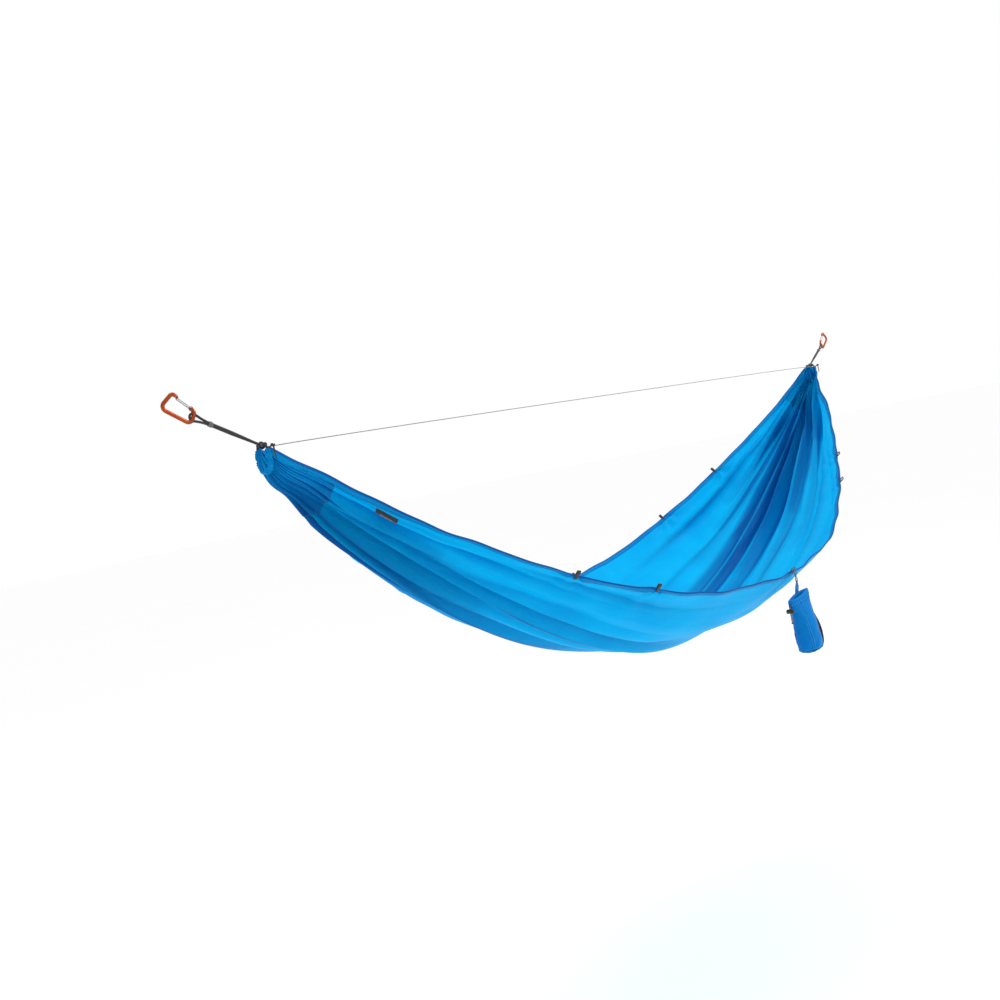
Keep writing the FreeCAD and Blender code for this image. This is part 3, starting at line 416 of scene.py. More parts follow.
def anodised(name, colour, worn):
    """Anodised aluminium: fine blasted grain, rubbed lighter in places, with hairline scratches."""
    material, tree, shader = new_material(name, colour, 0.30, 1.0)
    shader.inputs["Coat Weight"].default_value = 0.15
    shader.inputs["Coat Roughness"].default_value = 0.2
    place = coordinates(tree)[1]
    rub = noise(tree, place, 55.0, 6.0, 0.7)
    stretched = add_node(tree, "Mapping", "Vector", Vector=place, Scale=(900.0, 900.0, 60.0),
                         Rotation=(0.3, 0.9, 0.2))
    scratch = noise(tree, stretched, 1.0)
    factor = add_math(tree, "MULTIPLY", ramp(tree, rub, 0.45, 0.8), ramp(tree, scratch, 0.35, 0.8))
    tree.links.new(mix_colours(tree, factor, colour, worn), shader.inputs["Base Color"])
    tree.links.new(ramp(tree, rub, -0.3, 3.2), shader.inputs["Roughness"])
    bump = add_bump(tree, shader, noise(tree, place, 2600.0), 0.15, 0.0001)
    add_bump(tree, shader, scratch, 0.12, 0.0001, bump)
    return material


def grained(name, colour, low, high, roughness, metallic, scale, strength, distance):
    """Drawn wire or moulded plastic: one fine grain in its colour and on its surface."""
    material, tree, shader = new_material(name, colour, roughness, metallic)
    grain = noise(tree, coordinates(tree)[1], scale, 3.0)
    tree.links.new(mix_colours(tree, grain, low, high), shader.inputs["Base Color"])
    add_bump(tree, shader, grain, strength, distance)
    return material


bed_nylon = nylon("bed_nylon", (0.0002, 0.430, 0.82), (0.0002, 0.365, 0.76), 0.36)
# The doubled ends and the hem get darker copies of the bed's nylon: painted shade for the light held back by
# two layers.
double_nylon = nylon("double_nylon", (0.001, 0.260, 0.64), (0.001, 0.195, 0.54), 0.20)
hem_nylon = nylon("hem_nylon", (0.001, 0.330, 0.74), (0.001, 0.280, 0.68), 0.22)
sack_nylon = nylon("sack_nylon", (0.0005, 0.205, 0.60), (0.0005, 0.150, 0.48), 0.10)
black_braid = fibre("black_braid", (0.006, 0.006, 0.008), (0.04, 0.04, 0.05), 0.0016)
grey_braid = fibre("grey_braid", (0.20, 0.21, 0.22), (0.45, 0.46, 0.48), 0.0008)
sleeve_fibre = fibre("sleeve_fibre", (0.10, 0.10, 0.11), (0.30, 0.30, 0.32), 0.0009)
black_ribbon = fibre("black_ribbon", (0.010, 0.010, 0.012), (0.05, 0.05, 0.06), 0.0009)
blue_webbing = fibre("blue_webbing", (0.002, 0.170, 0.50), (0.006, 0.27, 0.68), 0.0012)
seam_thread = fibre("seam_thread", (0.10, 0.42, 0.72), (0.25, 0.60, 0.85), 0.0005)
stitch_thread = fibre("stitch_thread", (0.002, 0.085, 0.27), (0.01, 0.16, 0.42), 0.0005)
label_cloth = fibre("label_cloth", (0.012, 0.012, 0.014), (0.04, 0.04, 0.045), 0.0007)
label_thread = fibre("label_thread", (0.13, 0.13, 0.15), (0.30, 0.30, 0.33), 0.0005)
orange_metal = anodised("orange_metal", (0.34, 0.050, 0.010), (0.62, 0.20, 0.07))
steel = grained("steel", (0.24, 0.24, 0.25), (0.18, 0.18, 0.19), (0.32, 0.32, 0.33), 0.28, 1.0,
                900.0, 0.2, 0.0001)
black_plastic = grained("black_plastic", (0.012, 0.012, 0.013), (0.012, 0.012, 0.013),
                        (0.0316, 0.0316, 0.0334), 0.5, 0.0, 1500.0, 0.35, 0.0002)


def keep(node, material):
    """A CAD node stays as it is and gets a finished material."""
    item = nodes[node]
    item.data.materials.clear()
    item.data.materials.append(material)
    item.data.polygons.foreach_set("use_smooth", [True] * len(item.data.polygons))


def finish_piece(piece, body, slot, *replaced):
    """Ride and replaced nodes of one piece. slot is not used."""
    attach(piece, body)
    if replaced:
        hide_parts(*replaced)
    return piece


# ---------------------------------------------------------------- camera, floor and light


# Yaw, pitch and roll in degrees.
CAMERA_TURNS = (47.17, -1.89, -11.72)
CAMERA_PLACE = Vector((-1.04486, -1.805, -0.252746))


def place_camera():
    """Camera at the photograph's viewing angle, a little tilted."""
    yaw, pitch, roll = (math.radians(angle) for angle in CAMERA_TURNS)
    ahead = Vector((math.sin(yaw) * math.cos(pitch), math.cos(yaw) * math.cos(pitch), math.sin(pitch)))
    right = Vector((math.cos(yaw), -math.sin(yaw), 0.0))
    up = right.cross(ahead)
    turned = right * math.cos(roll) + up * math.sin(roll)
    upright = up * math.cos(roll) - right * math.sin(roll)
    data = bpy.data.cameras.new("camera")
    data.lens = 36.0
    data.sensor_width = 36.0
    data.clip_end = 200.0
    camera = place_object("camera", data)
    place = Matrix((turned, upright, -ahead)).transposed().to_4x4()
    place.translation = CAMERA_PLACE
    camera.matrix_world = place
    scene.camera = camera


def place_floor():
    """Plain pale floor, well below the hammock."""
    material, tree, shader = new_material("floor_paint", (0.98, 0.98, 0.98), 0.9)
    cloud = noise(tree, coordinates(tree)[1], 0.6)
    tree.links.new(mix_colours(tree, cloud, (0.975,) * 3, (0.99,) * 3), shader.inputs["Base Color"])
    half, height = 90.0, -1.9
    corners = [(-half, -half, height), (half, -half, height), (half, half, height), (-half, half, height)]
    mesh_piece("floor", corners, [(0, 1, 2, 3)], material, smooth=False)


def place_light(name, place, target, size, power):
    """Large soft area light that points at a target."""
    data = bpy.data.lights.new(name, "AREA")
    data.shape = "RECTANGLE"
    data.size = size
    data.size_y = size * 0.7
    data.energy = power
    light = place_object(name, data)
    light.location = place
    light.rotation_euler = (Vector(target) - Vector(place)).to_track_quat("-Z", "Y").to_euler()


def light_studio():
    """White surroundings, a broad key from the right of the camera and a softer light from above."""
    world = bpy.data.worlds.new("studio")
    world.use_nodes = True
    background = world.node_tree.nodes["Background"]
    background.inputs["Color"].default_value = (1.0, 1.0, 1.0, 1.0)
    background.inputs["Strength"].default_value = 1.0
    scene.world = world
    middle = (1.55, 0.0, -0.5)
    place_light("key", (4.6, -3.2, 1.9), middle, 2.0, 85.0)
    place_light("above", (0.9, 0.4, 3.4), middle, 2.4, 32.0)


place_camera()
place_floor()
light_studio()


# ---------------------------------------------------------------- the bed's surface


def catenary_scale():
    """Scale of the catenary that sags SAG over the ridge span, found by halving."""
    low, high = SPAN / 10, SPAN * 10
    for _ in range(60):
        scale = (low + high) / 2
        if scale * (math.cosh(SPAN / 2 / scale) - 1) > SAG:
            low = scale
        else:
            high = scale
    return scale


CATENARY = catenary_scale()


# Where the near edge hangs fuller: share, distance from the foot gather and width.
NEAR_EDGE_BULGES = ((0.055, 0.20, 0.13), (-0.018, 0.62, 0.20))


def from_gather(along):
    """Distance from the nearer gather."""
    return np.minimum(along, SPAN - along)


def from_edge(across, width):
    """Distance from the nearer edge. width is the half width."""
    return (1 - np.abs(across)) * width


def smooth_bed(along, across):
    """Smooth bed without folds. along is metres from the head gather, across is -1 at the near edge."""
    x = along - SPAN / 2
    fuller = sum(share * bell(SPAN - along - place, wide) for share, place, wide in NEAR_EDGE_BULGES)
    across = across * (1 + fuller * np.clip(-across, 0.0, 1.0))
    fall = CATENARY * (math.cosh(SPAN / 2 / CATENARY) - np.cosh(x / CATENARY))
    fall = fall * (1 + (EDGE_SAG_SHARE - 1) * across ** 2)
    angle = LEAN + across * HALF_OPENING
    drawn = np.exp(-from_gather(along) / GATHER_FADE)
    quarter = across * math.pi / 2
    y = fall * np.sin(angle) + drawn * GATHER_HALF_WIDTH * np.sin(quarter)
    z = -fall * np.cos(angle) - drawn * GATHER_DEPTH * np.cos(quarter)
    return np.stack([HEAD_GATHER.x + along, y, HEAD_GATHER.z + z], axis=-1)


def outward(along, across):
    """Unit vector out of the smooth bed, away from the person in it."""
    step = np.where(along < SPAN / 2, 0.0005, -0.0005)
    lengthwise = (smooth_bed(along + step, across) - smooth_bed(along, across)) / step[..., None]
    crosswise = smooth_bed(along, across + 0.005) - smooth_bed(along, across - 0.005)
    return unit(np.cross(crosswise, lengthwise))


def half_width(along):
    """Length across the smooth bed from its middle line to an edge."""
    along = np.asarray(along, dtype=float)
    shares = np.linspace(0.0, 1.0, 25)
    line = smooth_bed(along[..., None] * np.ones(25), shares * np.ones(along.shape + (1,)))
    return np.linalg.norm(np.diff(line, axis=-2), axis=-1).sum(axis=-1)


# Pleats that start at a gather and merge into fewer, wider ones: how many crests cross the bed, the
# distance from the gather where they're deepest, how fast they fade on a log scale, and their height.
PLEAT_FAMILIES = [(25, 0.040, 1.00, 0.0064), (15, 0.130, 0.80, 0.0110), (9, 0.300, 0.75, 0.0160),
                  (5.5, 0.620, 0.62, 0.0165)]

# Long folds that the eye picks out: place across, drift, length, width, height, and on which side
# and how strongly shade is painted along them, as if the fabric lay over itself.
LONG_HEAD_FOLDS = [(-0.64, 0.24, 1.20, 0.020, 0.030, 1.1), (-0.45, 0.24, 1.65, 0.022, 0.038, 1.5),
                   (-0.22, 0.10, 1.35, 0.022, 0.034, 1.0), (0.02, 0.03, 1.10, 0.020, 0.028, -0.8),
                   (0.28, 0.0, 1.0, 0.022, 0.030, -1.0), (0.55, -0.10, 0.8, 0.020, 0.022, -0.7)]
LONG_FOOT_FOLDS = [(-0.60, 0.04, 0.75, 0.016, 0.022, 0.7), (-0.34, 0.02, 1.00, 0.020, 0.030, 0.9),
                   (-0.10, 0.02, 1.35, 0.022, 0.040, 1.2), (0.08, -0.02, 1.45, 0.022, 0.046, 1.6),
                   (0.27, -0.14, 1.45, 0.022, 0.040, 1.4), (0.50, -0.05, 0.85, 0.018, 0.024, -0.6)]


def make_folds():
    """Single folds that start at a gather: end, place across, drift, length, width, height and painted shade
    (side and strength).
    """
    folds = []
    for end in (0, 1):
        for index in range(14):
            place = -0.90 + 1.80 * (index + DRAWS.uniform(0.2, 0.8)) / 14
            middle = math.exp(-(place / 0.42) ** 2)
            length = DRAWS.uniform(0.20, 0.45) + middle * DRAWS.uniform(0.20, 0.70)
            folds.append((end, place, DRAWS.uniform(-0.10, 0.10), length, DRAWS.uniform(0.009, 0.014),
                          DRAWS.uniform(0.008, 0.020), DRAWS.choice((-0.8, 0.8))))
    folds += [(0,) + fold for fold in LONG_HEAD_FOLDS]
    folds += [(1,) + fold for fold in LONG_FOOT_FOLDS]
    return folds


FOLDS = make_folds()
PHASES = [[DRAWS.uniform(0, 2 * math.pi) for _ in range(5)] for _ in range(8)]


def pleats(along, across):
    """Height of the merging pleats, and painted shade in the troughs between them."""
    total = np.zeros_like(along)
    shade_layers = np.zeros_like(along)
    for end in (0, 1):
        far = np.maximum(along if end == 0 else SPAN - along, 0.004)
        for index, (crests, deepest, fade, height) in enumerate(PLEAT_FAMILIES):
            first, second, third, fourth, fifth = PHASES[end * 4 + index]
            drawn = across + 0.05 * np.sin(5.1 * across + first) + 0.02 * np.sin(far * 9 + second)
            crest = np.abs(np.cos((math.pi * crests * drawn + third) / 2))
            window = bell(np.log(far / deepest), fade)
            if index == 0:
                window = np.where(far < deepest, 1.0, window)
            uneven = 0.70 + 0.45 * np.sin(7.7 * across + fourth) * np.cos(far * 6 + fifth)
            total += (1.9 * crest ** 0.85 - 1.15) * window * height * uneven
            # Painted shade in the troughs between pleat crests.
            shade_layers += (0.34 + 0.12 * index) * bell(crest, 0.30) * window * uneven
    return total, shade_layers


def folded(along, across, width):
    """Height of the folds out of the smooth bed and the painted shade along them. width is the half width.
    """
    total, shade_layers = pleats(along, across)
    for end, place, drift, length, wide, height, over in FOLDS:
        far = along if end == 0 else SPAN - along
        share = np.clip(far / length, 0.0, 1.0)
        centre = place + drift * share
        spread = wide * (0.35 + 1.5 * share)
        x = (across - centre) * width / spread
        crest = np.exp(-np.abs(x) ** 1.4) - 0.42 * bell(np.abs(x) - 1.5, 0.8)
        rise = np.minimum(1.0, 0.04 + far / 0.14)
        total += crest * height * rise * (1 - share) ** 0.9
        # Painted shade: a dark band on one side of each fold and a darker slit by its crest, fading towards
        # the fold's end.
        side = math.copysign(1.0, over)
        band = 1 / (1 + np.exp(-(x * side - 0.15) / 0.10)) / (1 + np.exp((x * side - 1.45) / 0.22))
        slit = bell(x * side - 0.22, 0.13 + 0.02 / (far + 0.1))
        shade_layers += abs(over) * (band + 0.7 * slit) * np.minimum(1.0, 0.4 + far / 0.3) * (1 - share) ** 0.40
    return total, shade_layers


def fold_shade_amount(along, across):
    """Painted fold shade at each place, faded out near the edges."""
    width = half_width(along)
    calm = np.clip(from_edge(across, width) / 0.07 - 0.25, 0.0, 1.0)
    return folded(along, across, width)[1] * calm


def ripples(along, across, width):
    """Low, wide waves and the small strain wrinkles that run to the edge loops."""
    lift = 0.0060 * np.sin(along * 5.1 + across * 2.3 + 0.6) * np.cos(across * 4.7 - 1.1)
    lift += 0.0022 * np.sin(along * 11.3 - across * 6.1) * (1 - across ** 2)
    lift += 0.0012 * np.sin(along * 31.0 + across * 9.0 + 2.0) * np.abs(across) ** 2
    for places, side in ((NEAR_LOOP_PLACES, -1), (FAR_LOOP_PLACES, 1)):
        for place in places:
            run = along - SPAN / 2 - place
            depth = (1 - side * across) * width
            reach = np.hypot(run, depth) + 0.004
            turn = np.arctan2(run, depth)
            fade = np.exp(-reach / 0.10) * np.minimum(1, reach / 0.02)
            lift += 0.0045 * np.cos(turn * 7 + place * 9) * fade
    return lift


NEAR_LOOP_PLACES = [-0.765, -0.540, 0.045, 0.765, 0.900]
FAR_LOOP_PLACES = [-0.765, -0.540, 0.158, 0.630, 0.900]


def bed_surface(along, across, offset=0.0):
    """Points of the folded fabric, moved out by an offset."""
    along, across = np.broadcast_arrays(np.asarray(along, float), np.asarray(across, float))
    width = half_width(along)
    calm = np.clip(from_edge(across, width) / 0.05, 0.0, 1.0)
    calm = np.maximum(calm, 0.55 * np.exp(-from_gather(along) / 0.10))
    lift = folded(along, across, width)[0] * calm + ripples(along, across, width)
    swell = 0.0075 * bell(from_gather(along) - 0.032, 0.024)
    lift = lift + edge_roll(along, across, width) - slack(along) * calm + swell
    return smooth_bed(along, across) + outward(along, across) * (lift + offset)[..., None]


def edge_roll(along, across, width):
    """The free edge waves a little between its loops."""
    close = bell(from_edge(across, width), 0.05)
    wave = 0.0030 * np.sin(along * 17.0 + across * 3.0) + 0.0018 * np.sin(along * 43.0 - across)
    scallop = 0.0030 * np.sin(along * 71.0 + 2.0 * across) * np.exp(-from_gather(along) / 0.35)
    return close * (wave + scallop)


def slack(along):
    """How far the loose folds of the head end let the bed rise above its smooth shape."""
    return 0.015 * np.clip(along / 0.12, 0.0, 1.0) * np.clip(1.45 - along, 0.0, 1.0)


def hem_share(along):
    """Width of the hem as a share of the half width."""
    return np.minimum(0.45, HEM_WIDTH / half_width(along))


def flat_places(points):
    """Metres along and across the fabric at each point of a grid, for the weave."""
    lengthwise = np.linalg.norm(np.diff(points, axis=0), axis=-1)
    crosswise = np.linalg.norm(np.diff(points, axis=1), axis=-1)
    v = np.vstack([np.zeros((1, points.shape[1])), np.cumsum(lengthwise, axis=0)])
    u = np.hstack([np.zeros((points.shape[0], 1)), np.cumsum(crosswise, axis=1)])
    middle = v[:, v.shape[1] // 2]
    return np.stack([u - u[:, -1:] / 2, middle[:, None] * np.ones(points.shape[1])], axis=-1)


def crowded(low, high, count, power=1.5):
    """Places that lie closer together towards both ends."""
    share = np.linspace(-1.0, 1.0, count)
    bent = np.sign(share) * (1 - (1 - np.abs(share)) ** power)
    return low + (high - low) * (bent + 1) / 2


def sheet_piece(name, alongs, shares, material, offset=0.0):
    """One layer of fabric. The shares, from -1 to 1, go over the fabric between the hems."""
    reach = 1 - hem_share(alongs) * 0.5
    acrosses = reach[:, None] * shares[None, :]
    alongs = alongs[:, None] * np.ones(len(shares))
    points = bed_surface(alongs, acrosses, offset)
    return mesh_piece(name, points, grid_faces(*alongs.shape), material, flat_places(points),
                      fold_shade=fold_shade_amount(alongs, acrosses))


def make_bed():
    """The one-piece fabric bed."""
    alongs = crowded(BED_MARGIN, SPAN - BED_MARGIN, BED_ROWS)
    return sheet_piece("bed_fabric", alongs, np.linspace(-1.0, 1.0, BED_COLUMNS), bed_nylon)


def make_patch(end):
    """Second layer of fabric sewn over one end, on the outside."""
    alongs = np.linspace(0.006, DOUBLED_LENGTH, 60)
    if end == "foot":
        alongs = SPAN - alongs[::-1]
    shares = np.linspace(-0.97, 0.97, BED_COLUMNS)
    return sheet_piece(end + "_doubled_fabric", alongs, shares, double_nylon, 0.0010)


def make_hem(side, sign):
    """Rolled hem: fabric folded round the edge, with a soft bead along it."""
    alongs = crowded(BED_MARGIN, SPAN - BED_MARGIN, HEM_ROWS)
    share = hem_share(alongs)
    outline = [(0.0, 0.0014), (0.25, 0.0019), (0.6, 0.0018), (0.85, 0.0021), (1.0, 0.0012), (1.02, 0.0),
               (1.0, -0.0012), (0.85, -0.0017), (0.6, -0.0014), (0.25, -0.0015), (0.0, -0.0010)]
    rows = []
    for place, height in outline:
        across = sign * (1 - share * (1 - place))
        if 0 < place < 1:
            height = height + math.copysign(0.00025, height) * np.sin(alongs * 2 * math.pi / 0.0085)
        rows.append(bed_surface(alongs, across) + outward(alongs, across) * (height + 0 * alongs)[:, None])
    points = np.stack(rows, axis=1)
    # Painted shade: darker along the rolled edge than on the flat part of the hem.
    shade_layers = np.ones(len(alongs))[:, None] * np.array([1.3 if place > 0.7 else 0.25 for place, _ in outline])
    return mesh_piece(side + "_hem_fabric", points, tube_faces(*points.shape[:2]), hem_nylon,
                      flat_places(points), fold_shade=shade_layers)


def add_stitches(points, faces, centres, ahead, normal, length, thick):
    """Add small rounded threads to the points and faces, one at each centre."""
    ahead = unit(ahead)
    side = unit(np.cross(ahead, normal))
    for centre, forward, beside, up in zip(centres, ahead, side, np.cross(side, ahead)):
        start = len(points)
        for share, size in ((-0.5, 0.35), (-0.32, 1.0), (0.32, 1.0), (0.5, 0.35)):
            for a, b in ((-1, 0), (0, -0.6), (1, 0), (0, 0.6)):
                points.append(centre + forward * (length * share)
                              + beside * (thick * size * a) + up * (thick * size * b))
        faces.extend(grid_faces(4, 4, wrap_columns=True, start=start))
        faces.append((start + 3, start + 2, start + 1, start))
        faces.append((start + 12, start + 13, start + 14, start + 15))


def make_hem_stitches(side, sign):
    """Two rows of stitches along each hem, inside and outside."""
    points, faces = [], []
    alongs = np.arange(0.012, SPAN - 0.012, 0.0042)
    for row in (0.16, 0.80):
        across = sign * (1 - hem_share(alongs) * (1 - row))
        for offset in (0.0021, -0.0017):
            centres = bed_surface(alongs, across, offset)
            ahead = bed_surface(alongs + 0.001, across, offset) - centres
            add_stitches(points, faces, centres, ahead, outward(alongs, across), 0.0030, 0.00034)
    return mesh_piece(side + "_hem_stitches", points, faces, stitch_thread, np.array(points)[:, ::2])


def make_patch_stitches(end):
    """Two rows of stitches across the doubled fabric's edge."""
    points, faces = [], []
    acrosses = np.linspace(-0.90, 0.90, 260)
    for along in (0.1095, 0.1045):
        alongs = np.full(len(acrosses), along if end == "head" else SPAN - along)
        centres = bed_surface(alongs, acrosses, 0.0013)
        ahead = np.gradient(centres, axis=0)
        add_stitches(points, faces, centres, ahead, outward(alongs, acrosses), 0.0026, 0.00034)
    return mesh_piece(end + "_doubled_stitches", points, faces, stitch_thread, np.array(points)[:, :2])


LABEL_PLACE = 0.206
LABEL_LENGTH = 0.040
LABEL_WIDTH = 0.015


def label_part(name, material, low, high, left, right, height, thick):
    """Rounded slab on the label. Bounds are shares of its width and length."""
    half = float(half_width(np.array(LABEL_PLACE)))
    top = float(hem_share(np.array(LABEL_PLACE))) + 0.005 / half
    rows, columns = 13, 33
    corner = 0.10
    points, uvs = [], []
    for layer in (height + thick, height):
        for row in np.linspace(-1, 1, rows):
            for column in np.linspace(-1, 1, columns):
                squeeze = 1 - 0.02 * max(0.0, abs(row) - 1 + corner) / corner
                share_x = (left + right) / 2 + (right - left) / 2 * column * squeeze
                share_y = (low + high) / 2 + (high - low) / 2 * row
                along = LABEL_PLACE - LABEL_LENGTH / 2 + LABEL_LENGTH * share_x
                across = -(1 - top - LABEL_WIDTH / half * share_y)
                edge = max(abs(row), abs(column))
                drop = 0.35 * thick if edge > 0.999 and layer > height else 0.0
                points.append((along, across, layer - drop))
                uvs.append((LABEL_LENGTH * share_x, LABEL_WIDTH * share_y))
    values = np.array(points)
    places = bed_surface(values[:, 0], values[:, 1], 0.0)
    places = places + outward(values[:, 0], values[:, 1]) * values[:, 2:3]
    faces = grid_faces(rows, columns)
    count = rows * columns
    faces += [tuple(point + count for point in face[::-1]) for face in faces]
    rim = list(range(columns)) + [row * columns + columns - 1 for row in range(1, rows)]
    rim += [count - 2 - index for index in range(columns - 1)]
    rim += [row * columns for row in range(rows - 2, 0, -1)]
    for one, two in zip(rim, rim[1:] + rim[:1]):
        faces.append((two, one, one + count, two + count))
    return mesh_piece(name, places, faces, material, uvs)


def make_label():
    """Plain black woven label with two plain grey stripes, without any lettering."""
    finish_piece(label_part("label_cloth_piece", label_cloth, 0.0, 1.0, 0.0, 1.0, 0.0006, 0.0006),
                 "hammock", "label_cloth", "woven_label")
    for name, *shape in (("label_stripe", 0.44, 0.58, 0.20, 0.80, 0.0012, 0.00015),
                         ("label_border_low", 0.905, 0.925, 0.05, 0.95, 0.0012, 0.0001)):
        finish_piece(label_part(name, label_thread, *shape), "hammock", "label_cloth")


def make_loop(name, place, sign):
    """Ribbon folded into a loop and sewn into the hem."""
    along, across = np.array(SPAN / 2 + place), np.array(float(sign))
    edge = bed_surface(along, across)
    out = unit(smooth_bed(along, across) - smooth_bed(along, np.array(sign * 0.99)))
    normal = outward(along, across)
    ahead = np.cross(out, normal)
    step, thick, width = 0.0008, 0.0011, 0.008
    outline = [(-0.010, 0.0026), (-0.004, 0.0026), (0.002, 0.0024), (0.006, 0.0031), (0.011, 0.0031),
               (0.0150, 0.001984), (0.0156, 0.0), (0.0150, -0.001984), (0.011, -0.0031),
               (0.006, -0.0031), (0.002, -0.0022), (-0.004, -0.0022), (-0.010, -0.0022)]
    section = [(-0.5, -0.5), (-0.5, 0.5), (-0.42, 0.62), (0.42, 0.62), (0.5, 0.5), (0.5, -0.5),
               (0.42, -0.62), (-0.42, -0.62)]
    line = spaced(spline_line([edge + out * x + normal * y for x, y in outline]), step)
    points, uvs = [], []
    for index, (centre, forward) in enumerate(zip(line, unit(np.gradient(line, axis=0)))):
        upward = np.cross(forward, ahead)
        points.extend(centre + ahead * (width * a) + upward * (thick * b) for a, b in section)
        uvs.extend((width * a, index * step) for a, _ in section)
    return mesh_piece(name, points, tube_faces(len(line), len(section)), black_ribbon, uvs)


bed = finish_piece(make_bed(), "hammock", "blue_nylon", "bed_panel")
for end in ("head", "foot"):
    finish_piece(make_patch(end), "hammock", "double_nylon", end + "_end_reinforcement")
    finish_piece(make_patch_stitches(end), "hammock", "double_nylon")
for side, sign in (("near", -1), ("far", 1)):
    finish_piece(make_hem(side, sign), "hammock", "hem_nylon", side + "_edge_hem")
    finish_piece(make_hem_stitches(side, sign), "hammock", "hem_nylon")
    places = NEAR_LOOP_PLACES if side == "near" else FAR_LOOP_PLACES
    loops = [make_loop("%s_loop_%d" % (side, index + 1), place, sign) for index, place in enumerate(places)]
    ribbons = join_pieces(side + "_edge_loop_ribbons", loops)
    finish_piece(ribbons, "hammock", "black_ribbon", side + "_edge_loops")
make_label()


# ---------------------------------------------------------------- gathers and suspension


CORD_AHEAD = Vector((math.cos(CORD_TILT), 0.0, -math.sin(CORD_TILT)))
CORD_ACROSS = Vector((math.sin(CORD_TILT), 0.0, math.cos(CORD_TILT)))
SPLICE_REACH = (0.034, 0.160)
SPLICE_RADIUS = 0.0046


def cord_point(reach, aside=0.0):
    """Point at a distance from the carabiner's bar along the head suspension cord, and aside of it."""
    return HEAD_BAR + CORD_AHEAD * reach + CORD_ACROSS * aside


def suspension_radius(share):
    """Thick splice, taper and single cord."""
    reach = SPLICE_REACH[0] + share * (SPLICE_REACH[1] - SPLICE_REACH[0])
    if reach < 0.092:
        return SPLICE_RADIUS - 0.0006 * max(0.0, (0.044 - reach) / 0.010)
    return SPLICE_RADIUS - 0.0016 * min(1.0, (reach - 0.092) / 0.055)


def make_suspension(end):
    """Spliced cord from the carabiner to the gather, with an eye at each end."""
    line = end_line(end, [cord_point(reach) for reach in (0.034, 0.062, 0.094, 0.128, 0.160)], 0.0011)
    main = tube_piece(end + "_suspension_main", line, suspension_radius, black_braid, 40, braid(12, 0.013))
    angles = np.radians(np.linspace(-128, 128, 13))
    eye = [cord_point(-0.0082 * math.cos(angle), 0.0082 * math.sin(angle)) for angle in angles]
    legs = [[cord_point(0.036, side * 0.0018), cord_point(0.020, side * 0.0031)] for side in (-1, 1)]
    eye_line = end_line(end, legs[0] + eye + legs[1][::-1], 0.0009)
    head_eye = tube_piece(end + "_suspension_eye", eye_line, 0.0027, black_braid, 32, braid(8, 0.0075))
    ring = circle(HEAD_GATHER, 0.0060, np.linspace(0, 2 * math.pi, 24, endpoint=False))
    low_eye = tube_piece(end + "_suspension_low_eye", end_line(end, ring, 0.0009, True), 0.0029, black_braid,
                         32, braid(8, 0.0085), closed=True)
    finish_piece(main, "hammock", "black_braid", end + "_suspension_cord")
    finish_piece(head_eye, "hammock", "black_braid")
    finish_piece(low_eye, "hammock", "black_braid")
    sleeve_line = spaced(np.array([at_end(end, cord_point(reach)) for reach in (0.0345, 0.0445)]), 0.0003)
    sleeve = tube_piece(end + "_suspension_whipping", sleeve_line,
                        lambda share: 0.0051 + 0.0008 * math.sin(math.pi * share) ** 0.5,
                        sleeve_fibre, 40, winding(0.0011, 0.10))
    finish_piece(sleeve, "hammock", "grey_braid", end + "_suspension_sleeve")


def gather_line(end, upper, step, top=(), closed=False):
    """Line down the gather loop's side through its upper places, round its foot and up the other side."""
    half, drop = GATHER_LOOP_HALF, GATHER_LOOP_DROP
    right = upper + [(half, -drop)]
    angles = [math.pi * turn / 8 for turn in range(1, 8)]
    foot = [(half * math.cos(angle) * 1.03, -drop - half * math.sin(angle) * 1.03) for angle in angles]
    outline = list(top) + right + foot + [(-y, z) for y, z in reversed(right)]
    return end_line(end, [HEAD_GATHER + Vector((0.0, y, z)) for y, z in outline], step, closed)


def make_gather_cord(end):
    """Loop of cord through the end channel, with its bar on top."""
    upper = [(0.010, 0.0), (0.0145, -0.0006), (0.0178, -0.005), (GATHER_LOOP_HALF, -0.012),
             (GATHER_LOOP_HALF, -0.024)]
    line = gather_line(end, upper, 0.0009, [(0.0, 0.0)], True)
    loop = tube_piece(end + "_gather_loop", line, 0.0025, black_braid, 32, braid(8, 0.0080), closed=True)
    finish_piece(loop, "hammock", "black_braid", end + "_gather_cord")


def make_wraps(end):
    """Whipping on the gather cord's bar: real turns of cord on both sides of the eye."""
    pieces = []
    turns, count = 3.2, 89
    for side in (-1, 1):
        points = []
        for index in range(count + 1):
            y = side * (0.0068 + 0.0075 * index / count)
            points.extend(circle(HEAD_GATHER, 0.0040, [2 * math.pi * turns * index / count], y))
        line = np.array([at_end(end, point) for point in points])
        pieces.append(tube_piece("wrap", line, 0.00125, black_braid, 12))
    piece = join_pieces(end + "_gather_whipping", pieces)
    finish_piece(piece, "hammock", "black_braid", end + "_gather_wraps")


